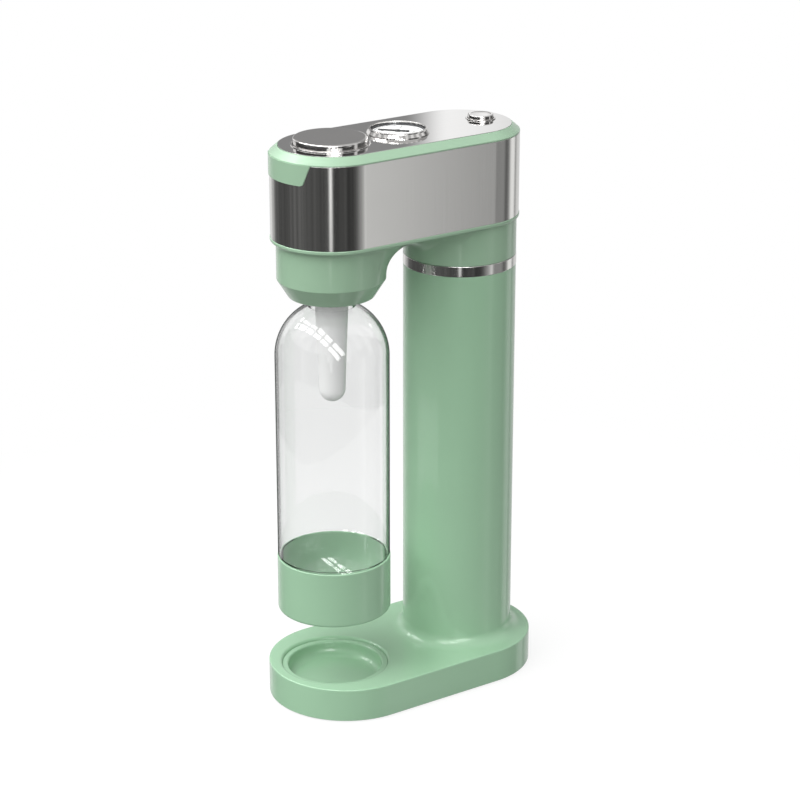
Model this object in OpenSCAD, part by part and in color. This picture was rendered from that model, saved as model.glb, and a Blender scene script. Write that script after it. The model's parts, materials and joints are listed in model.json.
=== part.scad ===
// Counter-top sparkling water maker: a round-ended base with a drip tray, a
// gas column behind it, an overhanging head and a bottle that hangs from it.
// Millimetres, +Z up, front towards -Y, origin in the middle of the table face.

/* [Base] */
// Length of the base, front to back
base_len = 222; // [214:1:236]
// Width of the base
base_wid = 121; // [118:1:132]
// Height of the base's top face over the table
base_h = 27; // [25:0.5:32]
// Wall of the base shell
base_wall = 2.6; // [2.2:0.1:3]
// Height of the rubber feet below the shell
foot_h = 1.2; // [0.8:0.1:2]
// Diameter of a rubber foot
foot_d = 15; // [12:0.5:16]
// Thickness of the bottom plate
floor_plate_t = 2.5; // [2.3:0.1:3.2]
// Concave blend between the base and the column
blend_r = 9; // [6:0.5:10]

/* [Column] */
// Distance of the column's axis behind the middle of the base
column_y = 54; // [52:0.5:56]
// Outer diameter of the column
column_d = 85.4; // [84:0.2:88]
// Wall of the column
column_wall = 2.6; // [2.2:0.1:3]
// Height of the column's upper edge over the table
column_top = 328; // [318:1:345]
// Height of the bright ring between column and head
ring_h = 8.3; // [6:0.1:11]
// How far the bright ring stands out from the column
ring_proud = 0.2; // [0.1:0.1:0.5]

/* [Head] */
// Width of the head
head_wid = 90; // [89:0.5:95]
// Front end centre of the head
head_front_y = -61; // [-62:0.5:-60]
// Rear end centre of the head
head_rear_y = 53; // [52:0.5:55]
// Height of the neck between ring and head
neck_h = 20.2; // [18:0.2:24]
// Height of the lower shell's side wall
deck_h = 8.5; // [7:0.5:12]
// Height of the bead below the steel band
bead_h = 3; // [2.5:0.1:4]
// Height of the steel band
band_h = 61.8; // [58:0.2:72]
// Thickness of the steel band
band_t = 0.9; // [0.6:0.1:1.2]
// Height of the top rim over the steel band
rim_h = 6.3; // [5:0.1:8]
// Width of the rim's bevel
rim_bevel = 6.2; // [5:0.1:7]
// Upright lip under the bevel
rim_lip = 1; // [0.6:0.1:1.6]
// Wall of the head's mouldings
head_wall = 2.6; // [2.2:0.1:3]
// Thickness of the steel top plate
top_plate_t = 1.2; // [0.8:0.1:1.6]
// Drop of the front tab below the steel band's upper edge
tab_drop = 14.8; // [10:0.2:20]
// Width of the front tab at its top
tab_wid = 55; // [44:1:62]
// Slant of each side of the tab
tab_slant = 5; // [3:0.5:8]

/* [Nozzle cup] */
// Axis of bottle, nozzle and push button, in front of the base's middle
front_y = -62; // [-63:0.5:-61]
// Diameter of the cup that hangs from the head
cup_d = 80.6; // [79:0.2:82]
// Diameter of the cup's lower face
cup_low_d = 64; // [62:0.5:70]
// Height of the cup's cone
cup_cone_h = 13.3; // [10:0.1:16]
// Radius of the arch from the cup into the head's underside
arch_r = 20; // [17:0.5:21]
// Diameter of the cup's mouth
mouth_d = 43.6; // [42:0.2:46]

/* [Bottle] */
// Outer diameter of the bottle's foot cup
bottle_d = 86; // [84:0.5:88]
// Height of the bottle with its foot cup
bottle_h = 273.2; // [262:0.2:284]
// Wall of the clear bottle
bottle_wall = 1.3; // [1:0.1:1.8]
// Height of the foot cup
boot_h = 43.4; // [36:0.2:52]
// Wall of the foot cup
boot_wall = 1.6; // [1.4:0.1:2]
// Outer diameter of the bottle's neck
neck_d = 35.6; // [34.6:0.2:36.4]
// Length of the neck over the middle of the dome
neck_len = 70.5; // [66:0.5:76]
// Outer diameter of the thread rings on the neck
thread_d = 39.4; // [38.6:0.2:40]

/* [Drip tray] */
// Diameter of the seat that the tray's lip lies in
tray_seat_d = 81.2; // [79:0.2:83]
// Inner diameter of the tray's bowl
tray_bowl_d = 75.5; // [73:0.5:76.2]
// Depth of the tray's lip below the base's top face
tray_drop = 2.1; // [1.2:0.1:3]
// Depth of the bowl below its lip
tray_depth = 11; // [8:0.5:12.4]
// Thickness of the tray
tray_t = 1.5; // [1.2:0.1:1.8]
// How far the tray can be lifted under the bottle
tray_lift = 40; // [30:1:42]

/* [Push button] */
// Diameter of the push button
button_d = 54; // [50:0.5:55]
// How far the push button stands over the top plate
button_rise = 5.2; // [4.8:0.1:7]
// Travel of the push button
button_travel = 4.5; // [3:0.1:4.6]
// Outer diameter of the ring round the push button
collar_d = 58; // [57.4:0.2:60]
// Diameter of the push button's stem
stem_d = 10; // [8:0.5:11]
// Wire of the push button's spring
spring_wire = 1.6; // [1.2:0.1:1.8]
// Turns of the push button's spring
spring_turns = 5; // [4:1:6]

/* [Pressure gauge] */
// Place of the gauge along the head
gauge_y = -2.75; // [-5:0.25:0]
// Outer diameter of the gauge's bezel
gauge_d = 46.6; // [45.4:0.2:50]
// Diameter of the gauge's case
gauge_case_d = 42.5; // [41.6:0.1:43]
// How far the bezel stands over the top plate
gauge_rise = 3.6; // [3.4:0.1:5]
// Depth of the case under the top plate
gauge_depth = 25; // [23:0.5:28]
// Length of the needle from its axis to its tip
needle_len = 15; // [11:0.5:17]
// Direction of the needle at no pressure, from +X towards +Y
needle_rest = 222; // [200:1:250]

/* [Release button] */
// Place of the release button along the head
release_y = 72.5; // [70:0.5:74]
// Diameter of the release button
release_d = 19.2; // [18:0.2:20.4]
// How far the release button stands over the top plate
release_rise = 3.5; // [3.2:0.1:5]
// Travel of the release button
release_travel = 2.5; // [1.5:0.1:3]
// Wire of the release button's spring
release_wire = 1.1; // [0.8:0.1:1.2]
// Turns of the release button's spring
release_turns = 6; // [5:1:8]

/* [Gas cylinder] */
// Diameter of the gas cylinder
gas_d = 60; // [56:0.5:62]
// Wall of the gas cylinder
gas_wall = 3; // [2.5:0.1:4]
// Diameter of the valve's screw thread
valve_d = 20.8; // [19.6:0.2:21.6]
// Diameter of the hatch under the cylinder
hatch_d = 65.2; // [64.6:0.2:67]

/* [Press lever] */
// Pivot of the lever behind the middle of the base
pivot_y = 84; // [83.6:0.1:84.6]
// Width of the lever
lever_w = 14; // [12:0.5:15]
// Height of the lever's bar
lever_h = 6; // [5:0.5:7]
// Diameter of the pivot pin
pivot_d = 6; // [5:0.2:6.4]

/* [Fits] */
// Radial clearance of pieces that are pushed together
slip = 0.05; // [0.03:0.01:0.08]
// Radial clearance of running pins
run = 0.05; // [0.03:0.01:0.08]
// Space between pieces that move past each other
apart = 0.35; // [0.3:0.05:0.45]

/* [Hidden] */
$fn = 96;

green = [0.62, 0.80, 0.65];
steel = [0.78, 0.78, 0.78];
bright = [0.88, 0.88, 0.90];
brass = [0.78, 0.63, 0.32];
dark = [0.20, 0.20, 0.21];
rubber = [0.12, 0.12, 0.12];
white = [0.95, 0.95, 0.94];
grey = [0.55, 0.56, 0.57];
clear = [0.85, 0.92, 0.94, 0.30];

// A cut runs past the faces it opens by this much
past = 1;
// Blends dip into the face they run out on by this much
dip = 0.05;
// The head's side wall stands this far outside the cup and neck below it
step_out = 0.15;

// Levels, from the table up
plate_bottom = foot_h;
plate_top = foot_h + floor_plate_t;
ring_top = column_top + ring_h;
deck_z = ring_top + neck_h;
floor_t = 3;
floor_z = deck_z + floor_t;
bead_z = deck_z + deck_h;
band_z = bead_z + bead_h;
band_top = band_z + band_h;
top_z = band_top + rim_h;
plate_z = top_z - top_plate_t;
cone_z = deck_z - arch_r - 0.5;
cup_z = cone_z - cup_cone_h;

// Radii
base_r = base_wid / 2;
base_c = base_len / 2 - base_r;
column_r = column_d / 2;
bore_r = column_r - column_wall;
spigot_r = column_r - column_wall / 2;
head_r = head_wid / 2;
cup_r = cup_d / 2;
plate_r = head_r - rim_bevel - slip;
upstand_r = head_r - band_t - apart;
upstand_in = upstand_r - 2.2;
rim_skirt = 8;

// Screws: radius of shank, of head, and height of head
screw_r = 1.25;
screw_head_r = 2.8;
screw_head_h = 1.6;
screw_len = 9;
boss_r = 4.2;
foot_c = base_r - base_wall - foot_d / 2 - 1.2;
foot_turn = 33;
base_screw_x = base_r - base_wall - boss_r - 3;
base_screw_y = 28;

// Drip tray
tray_lip_z = base_h - tray_drop;
tray_lip_t = 1.5;
tray_seat_r = tray_seat_d / 2;
tray_bowl_r = tray_bowl_d / 2;
tray_hole_r = tray_bowl_r + tray_t + apart;
tray_ring_r = tray_seat_r + 3;
tray_ring_t = 3;
seat_round = 2;

// Gas hatch and cylinder
hatch_r = hatch_d / 2;
hatch_hole_r = hatch_r + apart;
lug_reach = 3;
lug_t = 2;
lug_turn = 28;
lug_count = 3;
hatch_bottom = plate_bottom + 0.3;
lug_z = plate_top + apart;
hatch_top = lug_z + lug_t;
pad_t = 2;
gas_z = hatch_top + pad_t + apart;
gas_r = gas_d / 2;
gas_foot_r = 8;
gas_neck_r = 13;

// Carbonating block and bottle socket, on the head's floor
block_r = 29;
block_flange_r = block_r + 2 * screw_head_r;
flange_t = 4;
block_z = deck_z - 7.5;
block_top = floor_z + 12.5;
socket_r = 27;
socket_z = cup_z + head_wall + 0.7;
seal_t = 2.2;
bottle_top = block_z - seal_t - apart;
bottle_z = bottle_top - bottle_h;
bottle_r = bottle_d / 2;
shell_r = bottle_r - 0.4;
shell_low_r = bottle_r - boot_wall - 0.2;
boot_top = bottle_z + boot_h;
boot_floor = 2;
dome_z = bottle_top - neck_len;
neck_r = neck_d / 2;
neck_bore_r = neck_r - 2.2;
thread_r = thread_d / 2;
socket_bore_r = thread_r + apart;
low_round = shell_low_r * 0.75;
bottle_drop = bottle_z - base_h - 0.5;

// Carbonating nozzle that reaches into the bottle
nozzle_top_r = 13;
nozzle_tip_r = 9.8;
nozzle_wall = 1.6;
nozzle_in = 9;
nozzle_tip_z = bottle_top - 106.5;
nozzle_taper_z = bottle_top - 11;

// Gas head over the cylinder's valve
gas_head_r = 19;
gas_head_z = floor_z - 4.5;
gas_flange_r = gas_head_r + 2 * screw_head_r;
valve_r = valve_d / 2;
valve_top = gas_head_z + 15;
hex_h = 6;
valve_bore_r = valve_r + apart;
gasket_t = 2;
gasket_z = valve_top + apart;
chamber_z = gasket_z + gasket_t;
chamber_h = 5.6;
chamber_r = 4;
gas_shoulder_z = chamber_z + 8;
gas_head_top = gas_shoulder_z + 10;
gas_top_r = 12;
port_z = chamber_z + chamber_h / 2;
port_r = 4.2;
port_reach = 25;
push_r = 3;
seal_r = 5.1;
gland_h = 3.5;
gland_flange = 2.5;

// Lever over the gas head, pressed at the front by the button's stem
lever_z = gas_head_top + gland_flange + 6;
lever_top = lever_z + lever_h;
pivot_z = lever_z + lever_h / 2;
pivot_r = pivot_d / 2;
hub_r = pivot_r + 3.2;
ear_in = lever_w / 2 + 1;
ear_t = 2.5;
ear_front = pivot_r + 1.6;
ear_rear = pivot_r + 3;
bracket_screw_x = ear_in + ear_t + apart + screw_head_r;
bracket_foot_x = bracket_screw_x + screw_head_r + 0.5;
bracket_foot_t = 2.5;
lever_nose = 8;
arm_button = pivot_y - front_y;
arm_pin = pivot_y - column_y;
pin_travel = button_travel * arm_pin / arm_button;
valve_pin_r = 1.5;
valve_pin_top = valve_top + 1.5;
valve_bore_h = 14;
push_z = valve_pin_top + apart;
push_top = lever_z - apart;

// Push button, guide and ring in the top plate
button_r = button_d / 2;
button_top = top_z + button_rise;
button_skin = 1.5;
button_skirt = 13;
button_bore = button_r + apart;
collar_r = collar_d / 2;
collar_neck_r = button_bore + 0.95;
collar_t = 0.7;
collar_drop = 1.8;
guide_flange_r = collar_neck_r + 4.6;
guide_flange_t = 2.5;
guide_r = collar_neck_r + 2;
guide_floor_z = button_top - button_skirt - button_travel - 5.3;
guide_floor_t = 3;
stem_r = stem_d / 2;
stem_z = lever_top + apart;
boss_out = stem_r + 3;
clip_t = 1.1;
spring_r = boss_out + 1 + spring_wire;

// Release button and vent valve
release_r = release_d / 2;
release_top = top_z + release_rise;
release_bore = release_r + apart;
release_neck_r = release_bore + 0.7;
release_collar_r = release_neck_r + 0.6;
release_catch_z = top_z - 7.5;
release_catch_r = release_neck_r - apart;
release_catch_t = 1.2;
release_skin = 1.5;
release_stem_r = 3;
vent_in = release_neck_r + slip;
vent_r = vent_in + 1.5;
vent_flange_r = vent_r + 2;
vent_floor_z = release_catch_z - release_travel - 8;
vent_floor_t = 3;
vent_body_r = 8;
vent_body_z = vent_floor_z - vent_floor_t - 7;
vent_arm_x = 17;
vent_arm_r = 3.6;
vent_arm_z = vent_body_z + 4.2;
release_spring_r = release_stem_r + 1 + release_wire;

// Gauge
gauge_r = gauge_d / 2;
case_r = gauge_case_d / 2;
case_wall = 1.2;
case_top = top_z + gauge_rise - 1.7;
case_z = top_z - gauge_depth;
lens_t = 0.9;
dial_z = top_z - 0.1;
dial_t = 0.6;
dial_r = case_r - case_wall - 0.1;
needle_z = dial_z + dial_t + 0.5;
needle_t = 0.5;
needle_w = 1.1;
needle_tail = 0.5;
hub_disc_r = 2.2;
spindle_r = 0.8;
spindle_len = 9;
movement_top = dial_z - 5;
gauge_stem_x = -13;
gauge_stem_r = 4;
gauge_stem_z = case_z - 7;

// Hoses, each in a plane across X
hose_r = 3.2;
small_hose_r = 2.2;
vent_port_y = front_y + 10;
gauge_port_y = front_y + 12;
small_port_h = 4;
small_port_r = 3.4;
hose_sides = 8;

// Plain shapes

// Round-ended outline with end radius r between two end centres
module stadium(r, y_front, y_rear) {
  translate([0, y_front]) circle(r);
  translate([0, y_rear]) circle(r);
  translate([-r, y_front]) square([2 * r, y_rear - y_front]);
}

// Sweeps a profile (distance from the axis, height) round the head's outline
module round_head() {
  run_len = head_rear_y - head_front_y;
  translate([0, head_front_y, 0]) rotate([0, 0, 180]) rotate_extrude(angle = 180) children();
  translate([0, head_rear_y, 0]) rotate_extrude(angle = 180) children();
  for (side = [0, 1])
    translate([0, head_rear_y, 0]) rotate([90, 0, 0])
      linear_extrude(run_len) mirror([side, 0]) children();
}

// Straight-sided stretch between two circles that it touches on both sides
module tangent_web(r_front, r_rear) {
  slope = (r_rear - r_front) / (column_y - front_y);
  across = sqrt(1 - slope * slope);
  front = [across * r_front, front_y - slope * r_front];
  rear = [across * r_rear, column_y - slope * r_rear];
  polygon([front, rear, [-rear[0], rear[1]], [-front[0], front[1]]]);
}

// Outline of the lower head: cup circle, neck circle and the web between
module deck_outline(grow) {
  translate([0, front_y]) circle(cup_r + grow);
  translate([0, column_y]) circle(column_r + grow);
  tangent_web(cup_r + grow, column_r + grow);
}

module pipe(r_out, r_in, h) {
  difference() {
    cylinder(r = r_out, h = h);
    translate([0, 0, -past]) cylinder(r = r_in, h = h + 2 * past);
  }
}

// Concave corner between a wall at radius r and a ceiling at height z
module under_blend(r, z, blend) {
  bite = 0.3;
  rotate_extrude() translate([r - bite, z - blend]) difference() {
    square([blend + bite, blend]);
    translate([blend + bite, 0]) circle(blend);
  }
}

// Screw with its head at z = 0 and its shank upwards
module screw_up() {
  cylinder(r = screw_head_r, h = screw_head_h);
  translate([0, 0, screw_head_h - dip]) cylinder(r = screw_r, h = screw_len + dip);
}

// Screw with the underside of its head at z = 0 and its shank downwards
module screw_down(shank) {
  cylinder(r = screw_head_r, h = screw_head_h);
  translate([0, 0, -shank]) cylinder(r = screw_r, h = shank + dip);
}

module at_base_screws() {
  for (x = [-1, 1], y = [-1, 1])
    translate([x * base_screw_x, y * base_screw_y, 0]) children();
}

module at_feet() {
  for (y = [-1, 1], turn = [-foot_turn, foot_turn])
    translate([foot_c * sin(turn), y * (base_c + foot_c * cos(turn)), 0]) children();
}

// Three places on a circle, the first one at 30 degrees
module three_round(r) {
  for (turn = [30, 150, 270])
    translate([r * cos(turn), r * sin(turn), 0]) children();
}

module at_gas_screws() {
  three_round(gas_head_r + screw_head_r + 0.1) children();
}

module at_block_screws() {
  three_round(block_r + screw_head_r + 0.1) children();
}

// Tubes along points, as closed meshes

// Faces of a tube: rings of n points, with a fan on each end
function tube_faces(rings, n) = concat(
  [for (i = [0 : rings - 2], j = [0 : n - 1])
    [i * n + j, i * n + (j + 1) % n, (i + 1) * n + j]],
  [for (i = [0 : rings - 2], j = [0 : n - 1])
    [i * n + (j + 1) % n, (i + 1) * n + (j + 1) % n, (i + 1) * n + j]],
  [for (j = [1 : n - 2]) [0, j + 1, j]],
  [for (j = [1 : n - 2]) [(rings - 1) * n, (rings - 1) * n + j, (rings - 1) * n + j + 1]]
);

// Direction of travel at point i of a path
function heading(path, i) =
  let (a = path[max(i - 1, 0)], b = path[min(i + 1, len(path) - 1)])
  (b - a) / norm(b - a);

// Hose of radius r in the plane at x, along [y, z] points
module flat_hose(x, path, r) {
  n = hose_sides;
  points = [for (i = [0 : len(path) - 1], j = [0 : n - 1])
    let (t = heading(path, i), turn = 360 * j / n)
    [x + r * cos(turn),
     path[i][0] - r * sin(turn) * t[1],
     path[i][1] + r * sin(turn) * t[0]]];
  polyhedron(points, tube_faces(len(path), n), convexity = 6);
}

// Point i of a smooth curve through four control points
function curve_point(c, s) =
  pow(1 - s, 3) * c[0] + 3 * s * pow(1 - s, 2) * c[1] + 3 * s * s * (1 - s) * c[2] + pow(s, 3) * c[3];

// Hose route that leaves a along da and arrives at b along db, straight for its first and last 1 mm
function hose_route(a, da, b, db, steps) =
  let (u = da / norm(da), v = db / norm(db), c = [a + u, a + u + da, b - v - db, b - v])
  concat([a], [for (i = [0 : steps]) curve_point(c, i / steps)], [b]);

// Middle line of a coil spring
function coil_path(r, z0, z1, turns, steps) =
  [for (i = [0 : turns * steps])
    [r * cos(360 * i / steps), r * sin(360 * i / steps), z0 + (z1 - z0) * i / (turns * steps)]];

// Coil spring of one unbroken wire
module coil(r, wire, z0, z1, turns) {
  steps = 8;
  n = 6;
  path = coil_path(r, z0 + wire / 2, z1 - wire / 2, turns, steps);
  points = [for (i = [0 : len(path) - 1], j = [0 : n - 1])
    let (turn = 360 * j / n, spoke = 360 * i / steps, out = r + wire / 2 * cos(turn))
    [out * cos(spoke), out * sin(spoke), path[i][2] + wire / 2 * sin(turn)]];
  polyhedron(points, [for (f = tube_faces(len(path), n)) [f[2], f[1], f[0]]], convexity = 10);
}

// Least clear space between the turns of a coil
function coil_gap(r, wire, z0, z1, turns) =
  let (steps = 8, path = coil_path(r, z0 + wire / 2, z1 - wire / 2, turns, steps))
  min([for (i = [0 : len(path) - 1], j = [i + steps / 2 : 1 : len(path) - 1])
    norm(path[j] - path[i])]) - wire;

// Base and column

// One moulding: base, column and the blend between them
module stand_shell() {
  color(green) difference() {
    union() {
      translate([0, 0, plate_bottom])
        linear_extrude(base_h - plate_bottom) stadium(base_r, -base_c, base_c);
      translate([0, column_y, 0]) rotate_extrude() {
        translate([0, plate_top + apart]) square([column_r, column_top - plate_top - apart]);
        translate([column_r - 0.3, base_h - dip]) difference() {
          square([blend_r + 0.3, blend_r]);
          translate([blend_r + 0.3, blend_r]) circle(blend_r);
        }
      }
      translate([0, column_y, column_top - past])
        cylinder(r = spigot_r, h = ring_h + neck_h - floor_t + past - apart);
    }
    difference() {
      translate([0, 0, -past])
        linear_extrude(base_h - base_wall + past) stadium(base_r - base_wall, -base_c, base_c);
      translate([0, column_y, plate_top + apart]) cylinder(r = column_r, h = base_h);
      translate([0, front_y, tray_lip_z - tray_lip_t - tray_ring_t]) cylinder(r = tray_ring_r, h = base_h);
      at_base_screws() translate([0, 0, plate_top]) cylinder(r = boss_r, h = base_h);
    }
    translate([0, column_y, -past]) cylinder(r = bore_r, h = ring_top + neck_h + past);
    translate([0, front_y, 0]) cylinder(r = tray_hole_r, h = base_h + past);
    translate([0, front_y, 0]) rotate_extrude() {
      translate([0, tray_lip_z - tray_lip_t]) square([tray_seat_r, base_h]);
      translate([tray_seat_r - 0.3, base_h - seat_round + dip]) difference() {
        square([seat_round + 0.3, seat_round]);
        translate([seat_round + 0.3, 0]) circle(seat_round);
      }
    }
    at_base_screws() translate([0, 0, plate_top - past])
      cylinder(r = screw_r + slip, h = screw_len + past);
  }
}

// Bottom plate with the round opening that the gas cylinder goes in by
module base_plate() {
  color(dark) difference() {
    translate([0, 0, plate_bottom])
      linear_extrude(floor_plate_t) stadium(base_r - base_wall - 2 * slip, -base_c, base_c);
    translate([0, column_y, 0]) cylinder(r = hatch_hole_r, h = plate_top + past);
    hatch_notches();
    at_feet() translate([0, 0, plate_bottom - past]) cylinder(r = foot_d / 2 + slip, h = foot_h + past);
    at_base_screws() translate([0, 0, plate_bottom - past]) {
      cylinder(r = screw_head_r + slip, h = screw_head_h + past);
      cylinder(r = screw_r + slip, h = plate_top + past);
    }
  }
}

// Sector of a ring round the column's axis
module ring_sector(r, h, turn, half) {
  far = 2 * r;
  intersection() {
    cylinder(r = r, h = h);
    rotate([0, 0, turn]) linear_extrude(h)
      polygon([[0, 0], [far * cos(half), -far * sin(half)], [far * cos(half), far * sin(half)]]);
  }
}

// Gaps that let the hatch's lugs through after a part turn
module hatch_notches() {
  for (i = [0 : lug_count - 1])
    translate([0, column_y, 0])
      ring_sector(hatch_r + lug_reach + apart, plate_top + past,
                  i * 360 / lug_count + 40, lug_turn / 2 + 1.5);
}

module foot_pads() {
  color(rubber) at_feet() cylinder(r = foot_d / 2, h = 2 * foot_h);
}

module base_screws() {
  color(steel) at_base_screws() translate([0, 0, plate_bottom]) screw_up();
}

// Lift-out tray: a lip in the base's seat and a dished bowl
module drip_tray() {
  lip_r = tray_seat_r - apart;
  bowl_z = tray_lip_z - tray_depth;
  color(green) translate([0, front_y, 0]) rotate_extrude() difference() {
    union() {
      translate([0, tray_lip_z - tray_lip_t]) square([lip_r, tray_lip_t]);
      translate([0, bowl_z - tray_t]) square([tray_bowl_r + tray_t, tray_depth + tray_t]);
    }
    translate([0, bowl_z + seat_round]) square([tray_bowl_r, base_h]);
    translate([0, bowl_z]) square([tray_bowl_r - seat_round, base_h]);
    translate([tray_bowl_r - seat_round, bowl_z + seat_round]) circle(seat_round);
  }
}

// Twist-in cover under the gas cylinder, with a coin slot
module gas_hatch() {
  slot_w = 2.5;
  slot_l = 26;
  slot_d = 1.5;
  color(dark) translate([0, column_y, 0]) difference() {
    union() {
      translate([0, 0, hatch_bottom]) cylinder(r = hatch_r, h = hatch_top - hatch_bottom);
      for (i = [0 : lug_count - 1])
        translate([0, 0, lug_z])
          ring_sector(hatch_r + lug_reach, lug_t, i * 360 / lug_count, lug_turn / 2);
    }
    translate([-slot_l / 2, -slot_w / 2, hatch_bottom - past]) cube([slot_l, slot_w, slot_d + past]);
  }
}

module hatch_pad() {
  color(rubber) translate([0, column_y, hatch_top]) cylinder(r = gas_r - 2, h = pad_t);
}

// Bright trim ring round the joint of column and head
module column_ring() {
  color(bright) translate([0, column_y, column_top])
    pipe(column_r + ring_proud, spigot_r + slip, ring_h);
}

// Gas cylinder and its valve

module gas_cylinder() {
  shoulder_z = gas_head_z - 1 - hex_h - 9 - sqrt(gas_r * gas_r - gas_neck_r * gas_neck_r);
  top = gas_head_z - 1 - hex_h;
  in_r = gas_r - gas_wall;
  color(grey) translate([0, column_y, 0]) rotate_extrude() difference() {
    intersection() {
      union() {
        translate([0, gas_z + gas_foot_r]) square([gas_r, shoulder_z - gas_z - gas_foot_r]);
        translate([0, gas_z]) square([gas_r - gas_foot_r, gas_foot_r + past]);
        translate([gas_r - gas_foot_r, gas_z + gas_foot_r]) circle(gas_foot_r);
        translate([0, shoulder_z]) circle(gas_r);
        translate([0, shoulder_z]) square([gas_neck_r, top - shoulder_z]);
      }
      translate([0, gas_z]) square([gas_d, top]);
    }
    translate([0, gas_z + gas_wall + 2]) square([in_r - gas_foot_r, gas_d]);
    translate([0, gas_z + 2 * gas_foot_r]) square([in_r, shoulder_z - gas_z - 2 * gas_foot_r]);
    intersection() {
      translate([0, shoulder_z]) circle(in_r);
      translate([0, shoulder_z - dip]) square([gas_d, gas_d]);
    }
    translate([0, shoulder_z]) square([gas_neck_r - 4, gas_d]);
  }
}

// Screw-in valve: plug in the cylinder's neck, hexagon, thread and pin bore
module cylinder_valve() {
  hex_r = 16.5;
  plug_h = 12;
  color(brass) translate([0, column_y, 0]) difference() {
    union() {
      translate([0, 0, gas_head_z - 1 - hex_h - plug_h]) cylinder(r = gas_neck_r - 4 - slip, h = plug_h + past);
      translate([0, 0, gas_head_z - 1 - hex_h]) cylinder(r = hex_r, h = hex_h, $fn = 6);
      translate([0, 0, gas_head_z - 1 - past]) cylinder(r = valve_r, h = valve_top - gas_head_z + 1 + past);
    }
    translate([0, 0, valve_top - valve_bore_h]) cylinder(r = valve_pin_r + run, h = valve_bore_h + past);
  }
}

module valve_pin() {
  color(steel) translate([0, column_y, valve_top - valve_bore_h + 2 * pin_travel])
    cylinder(r = valve_pin_r, h = valve_pin_top - valve_top + valve_bore_h - 2 * pin_travel);
}

// Head shells

// Lower head: nozzle cup, neck, arch between them, floor and upstand
module head_housing() {
  color(green) difference() {
    union() {
      translate([0, 0, deck_z]) linear_extrude(deck_h + dip) deck_outline(step_out);
      translate([0, front_y, 0]) rotate_extrude()
        polygon([[0, cup_z], [cup_low_d / 2, cup_z], [cup_r, cone_z], [cup_r, deck_z + 1.5], [0, deck_z + 1.5]]);
      translate([0, column_y, ring_top]) cylinder(r = column_r, h = neck_h + 1.5);
      intersection() {
        translate([0, 0, ring_top]) linear_extrude(neck_h + 2) tangent_web(cup_r - step_out, column_r - step_out);
        translate([0, front_y, 0]) under_blend(cup_r, deck_z + dip, arch_r);
      }
      intersection() {
        translate([0, 0, ring_top]) linear_extrude(neck_h + 2) tangent_web(cup_r - step_out, column_r - step_out);
        translate([0, column_y, 0]) under_blend(column_r, deck_z + dip, arch_r * 0.45);
      }
      bead();
      translate([0, 0, bead_z + past]) linear_extrude(band_top - bead_z - past)
        stadium(upstand_r, head_front_y, head_rear_y);
    }
    translate([0, 0, floor_z]) linear_extrude(band_top) {
      translate([0, front_y]) circle(cup_r - head_wall);
      translate([0, column_y]) circle(column_r - head_wall);
      tangent_web(cup_r - head_wall, column_r - head_wall);
    }
    translate([0, 0, bead_z + bead_h - past]) linear_extrude(band_top)
      stadium(upstand_in, head_front_y, head_rear_y);
    cup_hollow();
    translate([0, column_y, ring_top - past])
      cylinder(r = spigot_r + slip, h = neck_h - floor_t + past);
    translate([0, column_y, 0]) cylinder(r = gas_head_r + apart, h = floor_z + past);
    translate([0, front_y, 0]) cylinder(r = block_r + apart, h = floor_z + past);
    floor_screw_holes();
  }
}

// Bead below the band, rounded on its lower edge
module bead() {
  edge = bead_h * 0.6;
  round_head() {
    translate([0, bead_z]) square([head_r - edge, bead_h]);
    translate([0, bead_z + edge]) square([head_r, bead_h - edge]);
    intersection() {
      translate([head_r - edge, bead_z + edge]) circle(edge);
      translate([head_r - 2 * edge, bead_z]) square([2 * edge, edge + dip]);
    }
  }
}

// Inside of the nozzle cup, open at its mouth
module cup_hollow() {
  translate([0, front_y, 0]) rotate_extrude()
    polygon([
      [0, cup_z + head_wall],
      [cup_low_d / 2 - head_wall - 1, cup_z + head_wall],
      [cup_r - head_wall, cone_z + 1],
      [cup_r - head_wall, deck_z],
      [0, deck_z]
    ]);
  translate([0, front_y, cup_z - past]) cylinder(r = mouth_d / 2, h = head_wall + 2 * past);
}

module floor_screw_holes() {
  r = screw_r + slip;
  depth = floor_t - 0.6;
  translate([0, column_y, floor_z - depth]) at_gas_screws() cylinder(r = r, h = depth + past);
  translate([0, front_y, floor_z - depth]) at_block_screws() cylinder(r = r, h = depth + past);
  translate([0, pivot_y, floor_z - depth]) for (x = [-1, 1])
    translate([x * bracket_screw_x, 0, 0]) cylinder(r = r, h = depth + past);
}

// Wrap-round steel band of the head
module head_band() {
  color(steel) translate([0, 0, band_z]) linear_extrude(band_h) difference() {
    stadium(head_r, head_front_y, head_rear_y);
    stadium(head_r - band_t, head_front_y, head_rear_y);
  }
}

// Bevelled frame round the top plate, with the front tab
module top_rim() {
  skirt_r = upstand_in - apart;
  skirt_in = skirt_r - 1.5;
  skirt_z = band_top - rim_skirt;
  seat_in = plate_r - 2.2;
  color(green) {
    union() {
      round_head() polygon([
        [seat_in, band_top], [skirt_in, band_top], [skirt_in, skirt_z], [skirt_r, skirt_z],
        [skirt_r, band_top], [head_r, band_top], [head_r, band_top + rim_lip],
        [plate_r + slip, top_z], [plate_r + slip, plate_z], [seat_in, plate_z]
      ]);
      front_tab();
    }
  }
}

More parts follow.
